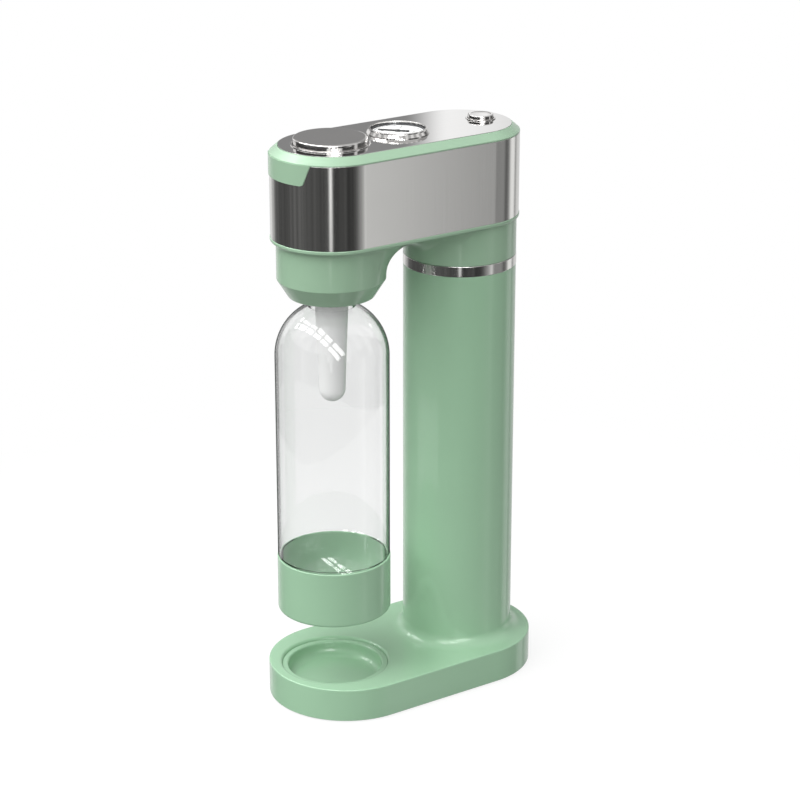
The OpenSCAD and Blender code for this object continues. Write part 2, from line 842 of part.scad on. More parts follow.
// Tab that hangs over the band at the front
module front_tab() {
  proud = 0.7;
  corner = 3;
  half = tab_wid / 2;
  low = half - tab_slant;
  bottom = band_top - tab_drop;
  intersection() {
    translate([0, head_front_y, bottom]) union() {
      pipe(head_r + proud, head_r + slip, tab_drop + rim_lip);
      translate([0, 0, tab_drop]) pipe(head_r + proud, head_r - 2, rim_lip);
    }
    translate([0, head_front_y, 0]) rotate([90, 0, 0]) linear_extrude(head_wid) {
      polygon([[-half, band_top + rim_lip + past], [half, band_top + rim_lip + past],
               [low, bottom + corner], [-low, bottom + corner]]);
      translate([-low + corner, bottom - past]) square([2 * (low - corner), tab_drop / 2]);
      for (x = [-1, 1]) translate([x * (low - corner), bottom + corner]) circle(corner);
    }
  }
}

// Steel plate with openings for button, gauge and release button
module top_plate() {
  color(steel) difference() {
    translate([0, 0, plate_z]) linear_extrude(top_plate_t) stadium(plate_r, head_front_y, head_rear_y);
    translate([0, front_y, plate_z - past]) cylinder(r = collar_neck_r + slip, h = top_plate_t + 2 * past);
    translate([0, gauge_y, plate_z - past]) cylinder(r = case_r + slip, h = top_plate_t + 2 * past);
    translate([0, release_y, plate_z - past]) cylinder(r = release_neck_r + slip, h = top_plate_t + 2 * past);
  }
}

// Push button

module button_collar() {
  color(bright) translate([0, front_y, 0]) {
    difference() {
      union() {
        translate([0, 0, top_z]) cylinder(r = collar_r, h = collar_t);
        translate([0, 0, plate_z - collar_drop])
          cylinder(r = collar_neck_r, h = top_plate_t + collar_drop + collar_t / 2);
      }
      translate([0, 0, plate_z - collar_drop - past])
        cylinder(r = button_bore, h = collar_drop + top_plate_t + collar_t + 2 * past);
    }
  }
}

// Hollow cap with a rounded edge and a boss for the stem
module button_cap() {
  edge = 1.2;
  low = button_top - button_skirt;
  color(bright) translate([0, front_y, 0]) rotate_extrude() difference() {
    union() {
      translate([0, low]) square([button_r, button_skirt - edge]);
      translate([0, low]) square([button_r - edge, button_skirt]);
      translate([button_r - edge, button_top - edge]) circle(edge);
    }
    difference() {
      translate([0, low - past]) square([button_r - button_skin, button_skirt - button_skin + past]);
      translate([0, button_top - button_skin - 6]) square([boss_out, 6 + past]);
    }
    translate([0, low - past]) square([stem_r + slip, button_skirt - button_skin - 1.5 + past]);
  }
}

module button_stem() {
  color(steel) translate([0, front_y, stem_z])
    cylinder(r = stem_r, h = button_top - button_skin - 1.5 - stem_z);
}

module stem_clip() {
  color(steel) translate([0, front_y, guide_floor_z - guide_floor_t - apart - clip_t])
    pipe(stem_r + 3.2, stem_r + slip, clip_t);
}

module button_spring() {
  color(steel) translate([0, front_y, 0])
    coil(spring_r, spring_wire, guide_floor_z, button_top - button_skin, spring_turns);
}

// Cup under the top plate that guides the stem and seats the spring
module button_guide() {
  floor_low = guide_floor_z - guide_floor_t;
  color(dark) translate([0, front_y, 0]) rotate_extrude() polygon([
    [stem_r + run, floor_low], [guide_r, floor_low], [guide_r, plate_z - guide_flange_t],
    [guide_flange_r, plate_z - guide_flange_t], [guide_flange_r, plate_z], [collar_neck_r + slip, plate_z],
    [collar_neck_r + slip, guide_floor_z], [stem_r + run, guide_floor_z]
  ]);
}

// Lever train to the valve

module press_lever() {
  nose_y = front_y - lever_nose + lever_w / 2;
  color(steel) difference() {
    union() {
      translate([0, 0, lever_z]) linear_extrude(lever_h) {
        translate([0, nose_y]) circle(lever_w / 2);
        translate([-lever_w / 2, nose_y]) square([lever_w, pivot_y - nose_y]);
      }
      translate([-ear_in + apart, pivot_y, pivot_z]) rotate([0, 90, 0]) cylinder(r = hub_r, h = 2 * (ear_in - apart));
    }
    translate([-lever_w, pivot_y, pivot_z]) rotate([0, 90, 0]) cylinder(r = pivot_r + run, h = 2 * lever_w);
  }
}

module lever_pin() {
  reach = ear_in + ear_t + 1.5;
  color(steel) translate([-reach, pivot_y, pivot_z]) rotate([0, 90, 0]) cylinder(r = pivot_r, h = 2 * reach);
}

module lever_bracket() {
  color(steel) difference() {
    union() {
      translate([-bracket_foot_x, pivot_y - ear_front, floor_z])
        cube([2 * bracket_foot_x, ear_front + ear_rear, bracket_foot_t]);
      for (x = [-ear_in - ear_t, ear_in])
        translate([x, pivot_y - ear_front, floor_z])
          cube([ear_t, ear_front + ear_rear, pivot_z - floor_z + hub_r - 1]);
    }
    translate([-bracket_foot_x, pivot_y, pivot_z]) rotate([0, 90, 0])
      cylinder(r = pivot_r + slip, h = 2 * bracket_foot_x);
    for (x = [-1, 1]) translate([x * bracket_screw_x, pivot_y, floor_z - past])
      cylinder(r = screw_r + slip, h = bracket_foot_t + 2 * past);
  }
}

module bracket_screws() {
  shank = bracket_foot_t + floor_t - 0.8;
  color(steel) for (x = [-1, 1])
    translate([x * bracket_screw_x, pivot_y, floor_z + bracket_foot_t]) screw_down(shank);
}

module push_pin() {
  color(steel) translate([0, column_y, push_z]) cylinder(r = push_r, h = push_top - push_z);
}

module push_seal() {
  color(rubber) translate([0, column_y, gas_head_top - 5]) pipe(seal_r, push_r + run, 2);
}

module gland_nut() {
  color(brass) translate([0, column_y, gas_head_top - 3]) difference() {
    union() {
      cylinder(r = seal_r, h = 3 + dip);
      translate([0, 0, 3]) cylinder(r = seal_r + gland_h, h = gland_flange, $fn = 6);
    }
    translate([0, 0, -past]) cylinder(r = push_r + run, h = gland_h + gland_flange + 2 * past);
  }
}

// Block that the valve screws into, with the gas outlet towards the nozzle
module gas_head() {
  color(brass) translate([0, column_y, 0]) difference() {
    union() {
      translate([0, 0, gas_head_z]) cylinder(r = gas_head_r, h = gas_shoulder_z - gas_head_z);
      translate([0, 0, floor_z]) cylinder(r = gas_flange_r, h = flange_t);
      translate([0, 0, gas_shoulder_z - past]) cylinder(r = gas_top_r, h = gas_head_top - gas_shoulder_z + past);
      translate([0, 0, port_z]) rotate([90, 0, 0]) cylinder(r = port_r, h = port_reach);
    }
    translate([0, 0, gas_head_z - past]) cylinder(r = valve_bore_r, h = gasket_z + gasket_t - gas_head_z + past);
    translate([0, 0, chamber_z - past]) cylinder(r = chamber_r, h = chamber_h + past);
    cylinder(r = push_r + run, h = gas_head_top + past);
    translate([0, 0, gas_head_top - 5]) cylinder(r = seal_r + slip, h = 5 + past);
    translate([0, 0, port_z]) rotate([90, 0, 0]) cylinder(r = 1.6, h = port_reach + past);
    translate([0, 0, floor_z - past]) at_gas_screws()
      cylinder(r = screw_r + slip, h = flange_t + 2 * past);
  }
}

module gas_gasket() {
  color(rubber) translate([0, column_y, gasket_z]) pipe(valve_bore_r - slip, chamber_r, gasket_t);
}

module gas_head_screws() {
  shank = flange_t + floor_t - 0.8;
  color(steel) translate([0, column_y, floor_z + flange_t]) at_gas_screws() screw_down(shank);
}

// Carbonating block, socket and nozzle

module nozzle_block() {
  color(grey) translate([0, front_y, 0]) difference() {
    union() {
      translate([0, 0, block_z]) cylinder(r = block_r, h = block_top - block_z);
      translate([0, 0, floor_z]) cylinder(r = block_flange_r, h = flange_t);
      translate([0, 0, block_top - port_r]) rotate([-90, 0, 0]) cylinder(r = port_r - 0.2, h = block_r + 4);
      translate([gauge_stem_x, gauge_port_y - front_y, block_top - past]) cylinder(r = small_port_r, h = small_port_h + past);
      translate([vent_arm_x, vent_port_y - front_y, block_top - past]) cylinder(r = small_port_r, h = small_port_h + past);
    }
    translate([0, 0, block_z - past]) cylinder(r = nozzle_top_r + slip, h = nozzle_in + 1 + past);
    translate([0, 0, block_z]) cylinder(r = 1.6, h = block_top - port_r - block_z);
    translate([0, 0, block_top - port_r]) rotate([-90, 0, 0]) cylinder(r = 1.6, h = block_r + 4 + past);
    translate([0, 0, floor_z - past]) at_block_screws()
      cylinder(r = screw_r + slip, h = flange_t + 2 * past);
  }
}

module block_screws() {
  shank = flange_t + floor_t - 0.8;
  color(steel) translate([0, front_y, floor_z + flange_t]) at_block_screws() screw_down(shank);
}

// Sleeve that the bottle's neck screws into
module bottle_socket() {
  color(dark) translate([0, front_y, socket_z]) pipe(socket_r, socket_bore_r, block_z - socket_z);
}

module neck_seal() {
  color(rubber) translate([0, front_y, block_z - seal_t]) pipe(socket_bore_r - slip, nozzle_top_r + 1.2, seal_t);
}

// Frosted nozzle: straight top, tapered body, round tip with an outlet
module diffuser_tube() {
  top = block_z + nozzle_in;
  in_r = nozzle_tip_r - nozzle_wall;
  tip_mid = nozzle_tip_z + nozzle_tip_r;
  color(white) translate([0, front_y, 0]) rotate_extrude() difference() {
    union() {
      polygon([[0, tip_mid], [nozzle_tip_r, tip_mid], [nozzle_top_r, nozzle_taper_z], [nozzle_top_r, top], [0, top]]);
      intersection() {
        translate([0, tip_mid]) circle(nozzle_tip_r);
        translate([0, nozzle_tip_z]) square([nozzle_tip_r, nozzle_tip_r + dip]);
      }
    }
    polygon([[0, tip_mid], [in_r, tip_mid], [nozzle_top_r - nozzle_wall, nozzle_taper_z],
             [nozzle_top_r - nozzle_wall, top + past], [0, top + past]]);
    intersection() {
      translate([0, tip_mid]) circle(in_r);
      translate([0, nozzle_tip_z]) square([nozzle_tip_r, nozzle_tip_r + dip]);
    }
    translate([0, nozzle_tip_z - past]) square([1.2, nozzle_tip_r]);
  }
}

// Sealed overpressure valve on the block
module relief_valve() {
  color(brass) translate([0, front_y - 18, block_top]) {
    cylinder(r = 7.5, h = 6, $fn = 6);
    translate([0, 0, 6 - dip]) cylinder(r = 5.5, h = 11);
  }
}

// Hoses

module gas_hose() {
  start = [column_y - port_reach, port_z];
  end = [front_y + block_r + 4, block_top - port_r];
  color(white) flat_hose(0, hose_route(start, [-22, 0], end, [-22, 0], 14), hose_r);
}

module gauge_hose() {
  start = [gauge_port_y, block_top + small_port_h];
  end = [gauge_y, gauge_stem_z];
  color(white) flat_hose(gauge_stem_x, hose_route(start, [0, 24], end, [0, 24], 14), small_hose_r);
}

module vent_hose() {
  start = [vent_port_y, block_top + small_port_h];
  end = [release_y, vent_arm_z - vent_arm_r];
  color(white) flat_hose(vent_arm_x, hose_route(start, [0, 34], end, [0, 34], 20), small_hose_r);
}

// Pressure gauge

module gauge_case() {
  in_r = case_r - case_wall;
  color(dark) translate([0, gauge_y, 0]) difference() {
    rotate_extrude() polygon([
      [0, case_z], [case_r, case_z], [case_r, case_top], [in_r, case_top], [in_r, dial_z],
      [in_r - 1.5, dial_z], [in_r - 1.5, dial_z - 1], [in_r, dial_z - 2.5], [in_r, case_z + case_wall],
      [0, case_z + case_wall]
    ]);
    translate([gauge_stem_x, 0, case_z - past]) cylinder(r = gauge_stem_r + slip, h = case_wall + 2 * past);
  }
}

// Bright ring that holds the lens
module gauge_bezel() {
  top = top_z + gauge_rise;
  color(bright) translate([0, gauge_y, 0]) rotate_extrude() polygon([
    [case_r + slip, top_z], [gauge_r, top_z], [gauge_r, top - 1.1], [gauge_r - 0.8, top],
    [case_r - case_wall - 0.3, top], [case_r - case_wall - 0.3, case_top + lens_t + slip],
    [case_r + slip, case_top + lens_t + slip]
  ]);
}

module gauge_dial() {
  color(white) translate([0, gauge_y, dial_z]) pipe(dial_r, spindle_r + 0.4, dial_t);
}

module gauge_lens() {
  color(clear) translate([0, gauge_y, case_top]) cylinder(r = case_r - slip, h = lens_t);
}

// Needle with its hub and spindle
module gauge_needle() {
  color(rubber) translate([0, gauge_y, 0]) {
    translate([0, 0, needle_z - 0.1]) cylinder(r = hub_disc_r, h = needle_t + 0.2);
    rotate([0, 0, needle_rest]) translate([0, 0, needle_z]) linear_extrude(needle_t)
      polygon([[-needle_len * needle_tail, -needle_w / 2], [needle_len * 0.8, -needle_w / 2],
               [needle_len, -0.2], [needle_len, 0.2],
               [needle_len * 0.8, needle_w / 2], [-needle_len * needle_tail, needle_w / 2]]);
    translate([0, 0, needle_z - spindle_len]) cylinder(r = spindle_r, h = spindle_len);
  }
}

// Works inside the gauge: frame block, spindle bearing and screwed stem
module gauge_movement() {
  block_x = 17;
  block_w = 14;
  color(brass) translate([0, gauge_y, 0]) difference() {
    union() {
      translate([-block_x, -block_w / 2, case_z + case_wall])
        cube([block_x + 8, block_w, movement_top - case_z - case_wall]);
      translate([gauge_stem_x, 0, gauge_stem_z]) cylinder(r = gauge_stem_r, h = case_z + case_wall - gauge_stem_z + past);
    }
    translate([0, 0, movement_top - 7]) cylinder(r = spindle_r + run, h = 7 + past);
  }
}

// Release button

module release_collar() {
  low = release_catch_z + release_catch_t + apart;
  color(bright) translate([0, release_y, 0]) difference() {
    union() {
      translate([0, 0, top_z]) cylinder(r = release_collar_r, h = collar_t);
      translate([0, 0, low]) cylinder(r = release_neck_r, h = top_z - low + collar_t / 2);
    }
    translate([0, 0, low - past]) cylinder(r = release_bore, h = 20);
  }
}

// Cap with a catch under its ring, and the stem that opens the vent
module release_button() {
  edge = 0.8;
  stem_low = vent_body_z + 2 + release_travel;
  color(bright) translate([0, release_y, 0]) rotate_extrude() difference() {
    union() {
      translate([0, release_catch_z]) square([release_r, release_top - release_catch_z - edge]);
      translate([0, release_catch_z]) square([release_r - edge, release_top - release_catch_z]);
      translate([release_r - edge, release_top - edge]) circle(edge);
      translate([0, release_catch_z]) square([release_catch_r, release_catch_t]);
      translate([0, stem_low]) square([release_stem_r, release_top - stem_low - edge]);
    }
    translate([release_stem_r, release_catch_z - past])
      square([release_r - release_skin - release_stem_r, release_top - release_catch_z - release_skin + past]);
  }
}

module release_spring() {
  color(steel) translate([0, release_y, 0])
    coil(release_spring_r, release_wire, vent_floor_z, release_top - release_skin, release_turns);
}

// Vent valve under the top plate, with its side arm for the hose
module vent_valve() {
  color(brass) translate([0, release_y, 0]) difference() {
    union() {
      translate([0, 0, vent_floor_z - vent_floor_t]) cylinder(r = vent_r, h = plate_z - vent_floor_z + vent_floor_t);
      translate([0, 0, plate_z - guide_flange_t]) cylinder(r = vent_flange_r, h = guide_flange_t);
      translate([0, 0, vent_body_z]) cylinder(r = vent_body_r, h = vent_floor_z - vent_body_z);
      translate([0, 0, vent_arm_z]) rotate([0, 90, 0]) cylinder(r = vent_arm_r, h = vent_arm_x + vent_arm_r);
      translate([vent_arm_x, 0, vent_arm_z - vent_arm_r]) cylinder(r = small_port_r, h = vent_arm_r);
    }
    translate([0, 0, vent_floor_z]) cylinder(r = vent_in, h = plate_z);
    translate([0, 0, vent_body_z + 1.4]) cylinder(r = release_stem_r + run, h = plate_z);
  }
}

// Bottle

// Clear bottle: round foot, straight side, domed shoulder and threaded neck
module bottle_shell() {
  in_r = shell_r - bottle_wall;
  low_z = bottle_z + boot_floor;
  ring_z = [bottle_top - 4.5, bottle_top - 9, bottle_top - 13.5];
  color(clear) translate([0, front_y, 0]) rotate_extrude() difference() {
    union() {
      round_foot(shell_low_r, low_round, low_z, boot_top + past);
      translate([0, boot_top]) square([shell_r, dome_z - boot_top]);
      half_circle(shell_r, dome_z);
      translate([0, dome_z]) square([neck_r, bottle_top - dome_z]);
      for (z = ring_z) translate([0, z]) square([thread_r, 1.8]);
    }
    round_foot(shell_low_r - bottle_wall, low_round - bottle_wall, low_z + bottle_wall,
               boot_top + 2 * bottle_wall);
    translate([0, boot_top + bottle_wall]) square([in_r, dome_z - boot_top - bottle_wall]);
    half_circle(in_r, dome_z);
    translate([0, dome_z]) square([neck_bore_r, neck_len + past]);
  }
}

// Half outline of a straight side with a rounded foot, from z0 up to z1
module round_foot(r, rounding, z0, z1) {
  translate([0, z0]) square([r - rounding, z1 - z0]);
  translate([0, z0 + rounding]) square([r, z1 - z0 - rounding]);
  intersection() {
    translate([r - rounding, z0 + rounding]) circle(rounding);
    translate([0, z0 - past]) square([r + past, 2 * rounding + 2 * past]);
  }
}

// Right half of a circle about height z
module half_circle(r, z) {
  intersection() {
    translate([0, z]) circle(r);
    translate([0, z - r - past]) square([r + past, 2 * r + 2 * past]);
  }
}

// Foot cup round the bottle's round end
module bottle_cup() {
  edge = 2.5;
  in_r = bottle_r - boot_wall;
  color(green) translate([0, front_y, 0]) rotate_extrude() difference() {
    union() {
      translate([0, bottle_z + edge]) square([bottle_r, boot_h - edge]);
      translate([0, bottle_z]) square([bottle_r - edge, edge + past]);
      translate([bottle_r - edge, bottle_z + edge]) circle(edge);
    }
    translate([0, bottle_z + boot_floor]) square([in_r, boot_h]);
  }
}

echo(push_spring_gap = coil_gap(spring_r, spring_wire, guide_floor_z, button_top - button_skin, spring_turns));
echo(release_spring_gap = coil_gap(release_spring_r, release_wire, vent_floor_z, release_top - release_skin, release_turns));
echo(pin_travel = pin_travel, bottle_drop = bottle_drop, arm_button = arm_button, arm_pin = arm_pin);

stand_shell();
base_plate();
foot_pads();
base_screws();
drip_tray();
gas_hatch();
hatch_pad();
gas_cylinder();
cylinder_valve();
valve_pin();
column_ring();
head_housing();
head_band();
top_rim();
top_plate();
button_collar();
button_cap();
button_stem();
stem_clip();
button_spring();
button_guide();
press_lever();
lever_pin();
lever_bracket();
bracket_screws();
push_pin();
push_seal();
gland_nut();
gas_head();
gas_gasket();
gas_head_screws();
nozzle_block();
block_screws();
bottle_socket();
neck_seal();
diffuser_tube();
relief_valve();
gas_hose();
gauge_hose();
vent_hose();
gauge_case();
gauge_bezel();
gauge_dial();
gauge_lens();
gauge_needle();
gauge_movement();
release_collar();
release_button();
release_spring();
vent_valve();
bottle_shell();
bottle_cup();
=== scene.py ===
"""Dressed model of a sparkling water maker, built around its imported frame.

Lengths are in millimetres and turn into metres only where something is drawn.
The front, with the bottle and the tab, looks towards -Y.
"""

import json
import logging
from dataclasses import dataclass
from enum import Enum
from math import atan2, ceil, cos, degrees, pi, radians, sin, sqrt, tan, tau
from typing import Any, Sequence

import bmesh
import bpy
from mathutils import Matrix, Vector

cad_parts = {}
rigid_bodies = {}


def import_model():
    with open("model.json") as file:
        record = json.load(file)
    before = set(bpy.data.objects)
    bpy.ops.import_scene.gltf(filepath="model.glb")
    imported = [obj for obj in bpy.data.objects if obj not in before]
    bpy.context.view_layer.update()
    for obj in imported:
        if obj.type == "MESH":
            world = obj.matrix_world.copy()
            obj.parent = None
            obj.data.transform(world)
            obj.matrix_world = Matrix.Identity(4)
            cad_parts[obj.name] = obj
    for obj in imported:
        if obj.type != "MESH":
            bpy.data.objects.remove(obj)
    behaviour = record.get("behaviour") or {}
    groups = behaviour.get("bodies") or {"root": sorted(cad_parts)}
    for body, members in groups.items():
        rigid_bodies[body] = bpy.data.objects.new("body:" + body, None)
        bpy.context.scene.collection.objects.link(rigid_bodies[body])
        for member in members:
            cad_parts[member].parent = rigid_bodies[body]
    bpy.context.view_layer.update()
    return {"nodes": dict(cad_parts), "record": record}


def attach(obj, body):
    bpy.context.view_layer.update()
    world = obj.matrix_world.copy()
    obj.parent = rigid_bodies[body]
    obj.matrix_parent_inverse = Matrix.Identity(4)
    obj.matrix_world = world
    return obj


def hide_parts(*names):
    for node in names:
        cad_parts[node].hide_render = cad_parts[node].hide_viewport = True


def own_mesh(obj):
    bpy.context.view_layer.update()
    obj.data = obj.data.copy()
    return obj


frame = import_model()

LOG = logging.getLogger("water_maker")

MM = 0.001
ROUND_STEPS = 128
HALF_STEPS = 64
SMALL_STEPS = 96
PIN_STEPS = 40
ARC_STEP = radians(11)
SMOOTH_ANGLE = radians(34)
MERGE = 1.5e-6
LEVEL = 1e-5
FIT = 0.03
BOTTLE_Y = -62.0
GAUGE_Y = -2.75
COLUMN_Y = 54.0
RELEASE_Y = 72.5
HEAD_FRONT_Y = -61.0
HEAD_REAR_Y = 53.0
BEAD_Z = 365.0

Corner = Sequence[float]
Point = tuple[float, float]
Colour = tuple[float, float, float]
Place = tuple[float, float, float]


class Body(Enum):
    """Bodies of the frame that pieces ride on."""

    FRAME = "frame"
    BUTTON = "button"
    RELEASE = "release"
    NEEDLE = "needle"
    BOTTLE = "bottle"
    TRAY = "tray"


class Lay(Enum):
    """Direction of the fine lines that polishing leaves in metal."""

    UPRIGHT = (1400.0, 1400.0, 9.0)
    LENGTHWISE = (1400.0, 14.0, 1400.0)
    TURNED = (35.0, 35.0, 2200.0)


class Flow:
    """A value on its way through a node tree, usable in sums."""

    def __init__(self, bench: "NodeBench", socket: bpy.types.NodeSocket) -> None:
        """Wrap one output socket of a bench's tree."""
        self.bench = bench
        self.socket = socket

    def _sum(self, operation: str, first: Any, second: Any = 0.0) -> "Flow":
        """Add one Math node.

        Args:
            operation: the Math node's operation.
            first: first value, a number or a Flow.
            second: second value, a number or a Flow.

        Returns:
            The node's result.
        """
        return self.bench.node("ShaderNodeMath", {"operation": operation}, {0: first, 1: second})

    def __add__(self, other: Any) -> "Flow":
        """This value plus another."""
        return self._sum("ADD", self, other)

    def __radd__(self, other: Any) -> "Flow":
        """Another value plus this one."""
        return self._sum("ADD", other, self)

    def __sub__(self, other: Any) -> "Flow":
        """This value less another."""
        return self._sum("SUBTRACT", self, other)

    def __rsub__(self, other: Any) -> "Flow":
        """Another value less this one."""
        return self._sum("SUBTRACT", other, self)

    def __mul__(self, other: Any) -> "Flow":
        """This value times another."""
        return self._sum("MULTIPLY", self, other)

    def __rmul__(self, other: Any) -> "Flow":
        """Another value times this one."""
        return self._sum("MULTIPLY", other, self)

    def __truediv__(self, other: Any) -> "Flow":
        """This value over another."""
        return self._sum("DIVIDE", self, other)

    def __rtruediv__(self, other: Any) -> "Flow":
        """Another value over this one."""
        return self._sum("DIVIDE", other, self)

    def __abs__(self) -> "Flow":
        """This value without its sign."""
        return self._sum("ABSOLUTE", self)

    def over(self, limit: Any) -> "Flow":
        """One where this value is above the limit, else nought."""
        return self._sum("GREATER_THAN", self, limit)

    def under(self, limit: Any) -> "Flow":
        """One where this value is below the limit, else nought."""
        return self._sum("LESS_THAN", self, limit)

    def angle_from(self, across: "Flow") -> "Flow":
        """Angle of the direction with this rise and that run."""
        return self._sum("ARCTAN2", self, across)

    def peak(self, other: Any) -> "Flow":
        """The larger of this value and another."""
        return self._sum("MAXIMUM", self, other)

    def power(self, exponent: float) -> "Flow":
        """This value to a power."""
        return self._sum("POWER", self, exponent)

    def part(self) -> "Flow":
        """The part of this value after the point."""
        return self._sum("FRACT", self)

    def root(self) -> "Flow":
        """Square root of this value."""
        return self._sum("SQRT", self)

    def also(self, output: str) -> "Flow":
        """Another output of the node that this value comes from."""
        return Flow(self.bench, self.socket.node.outputs[output])


class NodeBench:
    """Adds nodes to one node tree."""

    def __init__(self, tree: bpy.types.NodeTree) -> None:
        """Start on an emptied tree."""
        self.tree = tree
        tree.nodes.clear()

    def node(
        self,
        kind: str,
        settings: dict[str, Any] | None = None,
        sockets: dict[int | str, Any] | None = None,
        output: int | str = 0,
    ) -> Flow | None:
        """Add a node, set it up and feed its sockets.

        Args:
            kind: the node's type.
            settings: properties by name, or a ramp's stops.
            sockets: values or Flows by input name or number.
            output: which output to hand back.

        Returns:
            The chosen output, or nothing for a node without outputs.
        """
        made = self.tree.nodes.new(kind)
        for name, value in (settings or {}).items():
            if name == "stops":
                self._stops(made.color_ramp, value)
            else:
                setattr(made, name, value)
        for name, value in (sockets or {}).items():
            if isinstance(value, Flow):
                self.tree.links.new(value.socket, made.inputs[name])
            else:
                made.inputs[name].default_value = value
        return Flow(self, made.outputs[output]) if made.outputs else None

    @staticmethod
    def _stops(ramp: bpy.types.ColorRamp, stops: Sequence[tuple[float, float]]) -> None:
        """Place grey stops on a ramp.

        Args:
            ramp: the ramp of a Color Ramp node.
            stops: place and grey level of each stop, in order.
        """
        while len(ramp.elements) < len(stops):
            ramp.elements.new(1.0)
        for element, (place, level) in zip(ramp.elements, stops):
            element.position = place
            element.color = (level, level, level, 1.0)

    def place(self) -> Flow:
        """Object coordinates."""
        return self.node("ShaderNodeTexCoord", output="Object")

    def noise(self, place: Flow, scale: float, detail: float = 2.0) -> Flow:
        """Noise at a number of cells per metre."""
        sockets = {"Vector": place, "Scale": scale, "Detail": detail}
        return self.node("ShaderNodeTexNoise", None, sockets)

    def stretch(self, place: Flow, scale: Sequence[float]) -> Flow:
        """Coordinates scaled by an amount along each axis."""
        return self.node("ShaderNodeVectorMath", {"operation": "MULTIPLY"}, {0: place, 1: scale})

    def ease(self, value: Flow, low: float, high: float) -> Flow:
        """Smooth step from nought at low to one at high."""
        return self.node(
            "ShaderNodeMapRange",
            {"interpolation_type": "SMOOTHSTEP"},
            {"Value": value, "From Min": low, "From Max": high},
        )

    def tint(self, share: Flow, first: Any, second: Any) -> Flow:
        """Colour between two others."""
        here, there = (c if isinstance(c, Flow) else (*c, 1.0) for c in (first, second))
        return self.node("ShaderNodeMix", {"data_type": "RGBA"}, {0: share, 6: here, 7: there}, 2)

    def bump(self, height: Flow, depth: float) -> Flow:
        """Normal of a surface raised by a height times a depth in metres."""
        return self.node("ShaderNodeBump", None, {"Height": height, "Distance": depth})

    def dot(self, way: Flow, along: Sequence[float]) -> Flow:
        """How far a direction runs along another."""
        settings = {"operation": "DOT_PRODUCT"}
        return self.node("ShaderNodeVectorMath", settings, {0: way, 1: along}, "Value")

    def mix(self, share: Any, first: Flow, second: Flow) -> Flow:
        """Shader between two others."""
        return self.node("ShaderNodeMixShader", None, {0: share, 1: first, 2: second})

    def clear(self, colour: Sequence[float]) -> Flow:
        """See-through shader that tints what lies behind it."""
        return self.node("ShaderNodeBsdfTransparent", None, {"Color": (*colour, 1.0)})

    def dull(self, colour: Sequence[float]) -> Flow:
        """Plain matte shader."""
        return self.node("ShaderNodeBsdfDiffuse", None, {"Color": (*colour, 1.0)})

    def surface(self, sockets: dict[str, Any]) -> Flow:
        """Principled shader with the sockets given."""
        return self.node("ShaderNodeBsdfPrincipled", None, sockets)


def shade(colour: Colour, amount: float) -> Colour:
    """A colour made lighter or darker by a factor."""
    return tuple(min(1.0, c * amount) for c in colour)


def grey(level: float) -> Colour:
    """The grey of one level."""
    return (level, level, level)


@dataclass(frozen=True)
class Finish:
    """A surface finish that makes its own material."""

    name: str

    def build(self, bench: NodeBench) -> Flow:
        """Build the shader.

        Args:
            bench: the material's bench.

        Returns:
            The shader, ready for the material's output.
        """
        raise NotImplementedError

    def material(self) -> bpy.types.Material:
        """Make the material, or find it where it was made before.

        Returns:
            The material.
        """
        title = f"{self.name}_finish"
        made = bpy.data.materials.get(title)
        if made is None:
            made = bpy.data.materials.new(title)
            made.use_nodes = True
            bench = NodeBench(made.node_tree)
            bench.node("ShaderNodeOutputMaterial", None, {"Surface": self.build(bench)})
        return made


@dataclass(frozen=True)
class Moulded(Finish):
    """Injection-moulded plastic with slight clouding and a fine skin."""

    colour: Colour
    roughness: float = 0.46
    skin: float = 3e-6
    skin_scale: float = 2600.0
    clouding: float = 0.035
    coat: float = 0.85
    coat_roughness: float = 0.03
    cloud_scale: float = 14.0
    cloud_share: float = 0.10
    rub_scale: Place = (60.0, 60.0, 240.0)
    rub_share: float = 0.08
    coat_wear: float = 0.2

    def build(self, bench: NodeBench) -> Flow:
        """Build the shader.

        Args:
            bench: the material's bench.

        Returns:
            The shader, ready for the material's output.
        """
        place = bench.place()
        broad = bench.noise(place, self.cloud_scale, 3.0)
        fine = bench.noise(place, self.skin_scale, 3.0)
        rubbed = bench.noise(bench.stretch(place, self.rub_scale), 1.0, 4.0)
        uneven = self.cloud_share * (broad - 0.5) + self.rub_share * (rubbed - 0.5)
        dark, light = (shade(self.colour, 1 + side * self.clouding) for side in (-1, 1))
        return bench.surface(
            {
                "Base Color": bench.tint(broad, dark, light),
                "Roughness": self.roughness + uneven,
                "Coat Weight": self.coat + self.coat_wear * (rubbed - 0.5),
                "Coat Roughness": self.coat_roughness,
                "Normal": bench.bump(fine, self.skin),
            }
        )


@dataclass(frozen=True)
class Metal(Finish):
    """Metal with the lines and light scuffs of its last polish."""

    colour: Colour
    roughness: float
    lay: Lay
    lines: float = 0.05
    depth: float = 3e-6
    scuff_scale: float = 22.0
    scuffs: float = 0.04
    tones: Point = (0.94, 1.04)

    def build(self, bench: NodeBench) -> Flow:
        """Build the shader.

        Args:
            bench: the material's bench.

        Returns:
            The shader, ready for the material's output.
        """
        place = bench.place()
        lines = bench.noise(bench.stretch(place, self.lay.value), 1.0, 4.0)
        broad = bench.noise(place, self.scuff_scale, 3.0)
        dark, light = (shade(self.colour, tone) for tone in self.tones)
        uneven = self.lines * (lines - 0.5) + self.scuffs * (broad - 0.5)
        return bench.surface(
            {
                "Base Color": bench.tint(lines, dark, light),
                "Metallic": 1.0,
                "Roughness": self.roughness + uneven,
                "Normal": bench.bump(lines, self.depth),
            }
        )


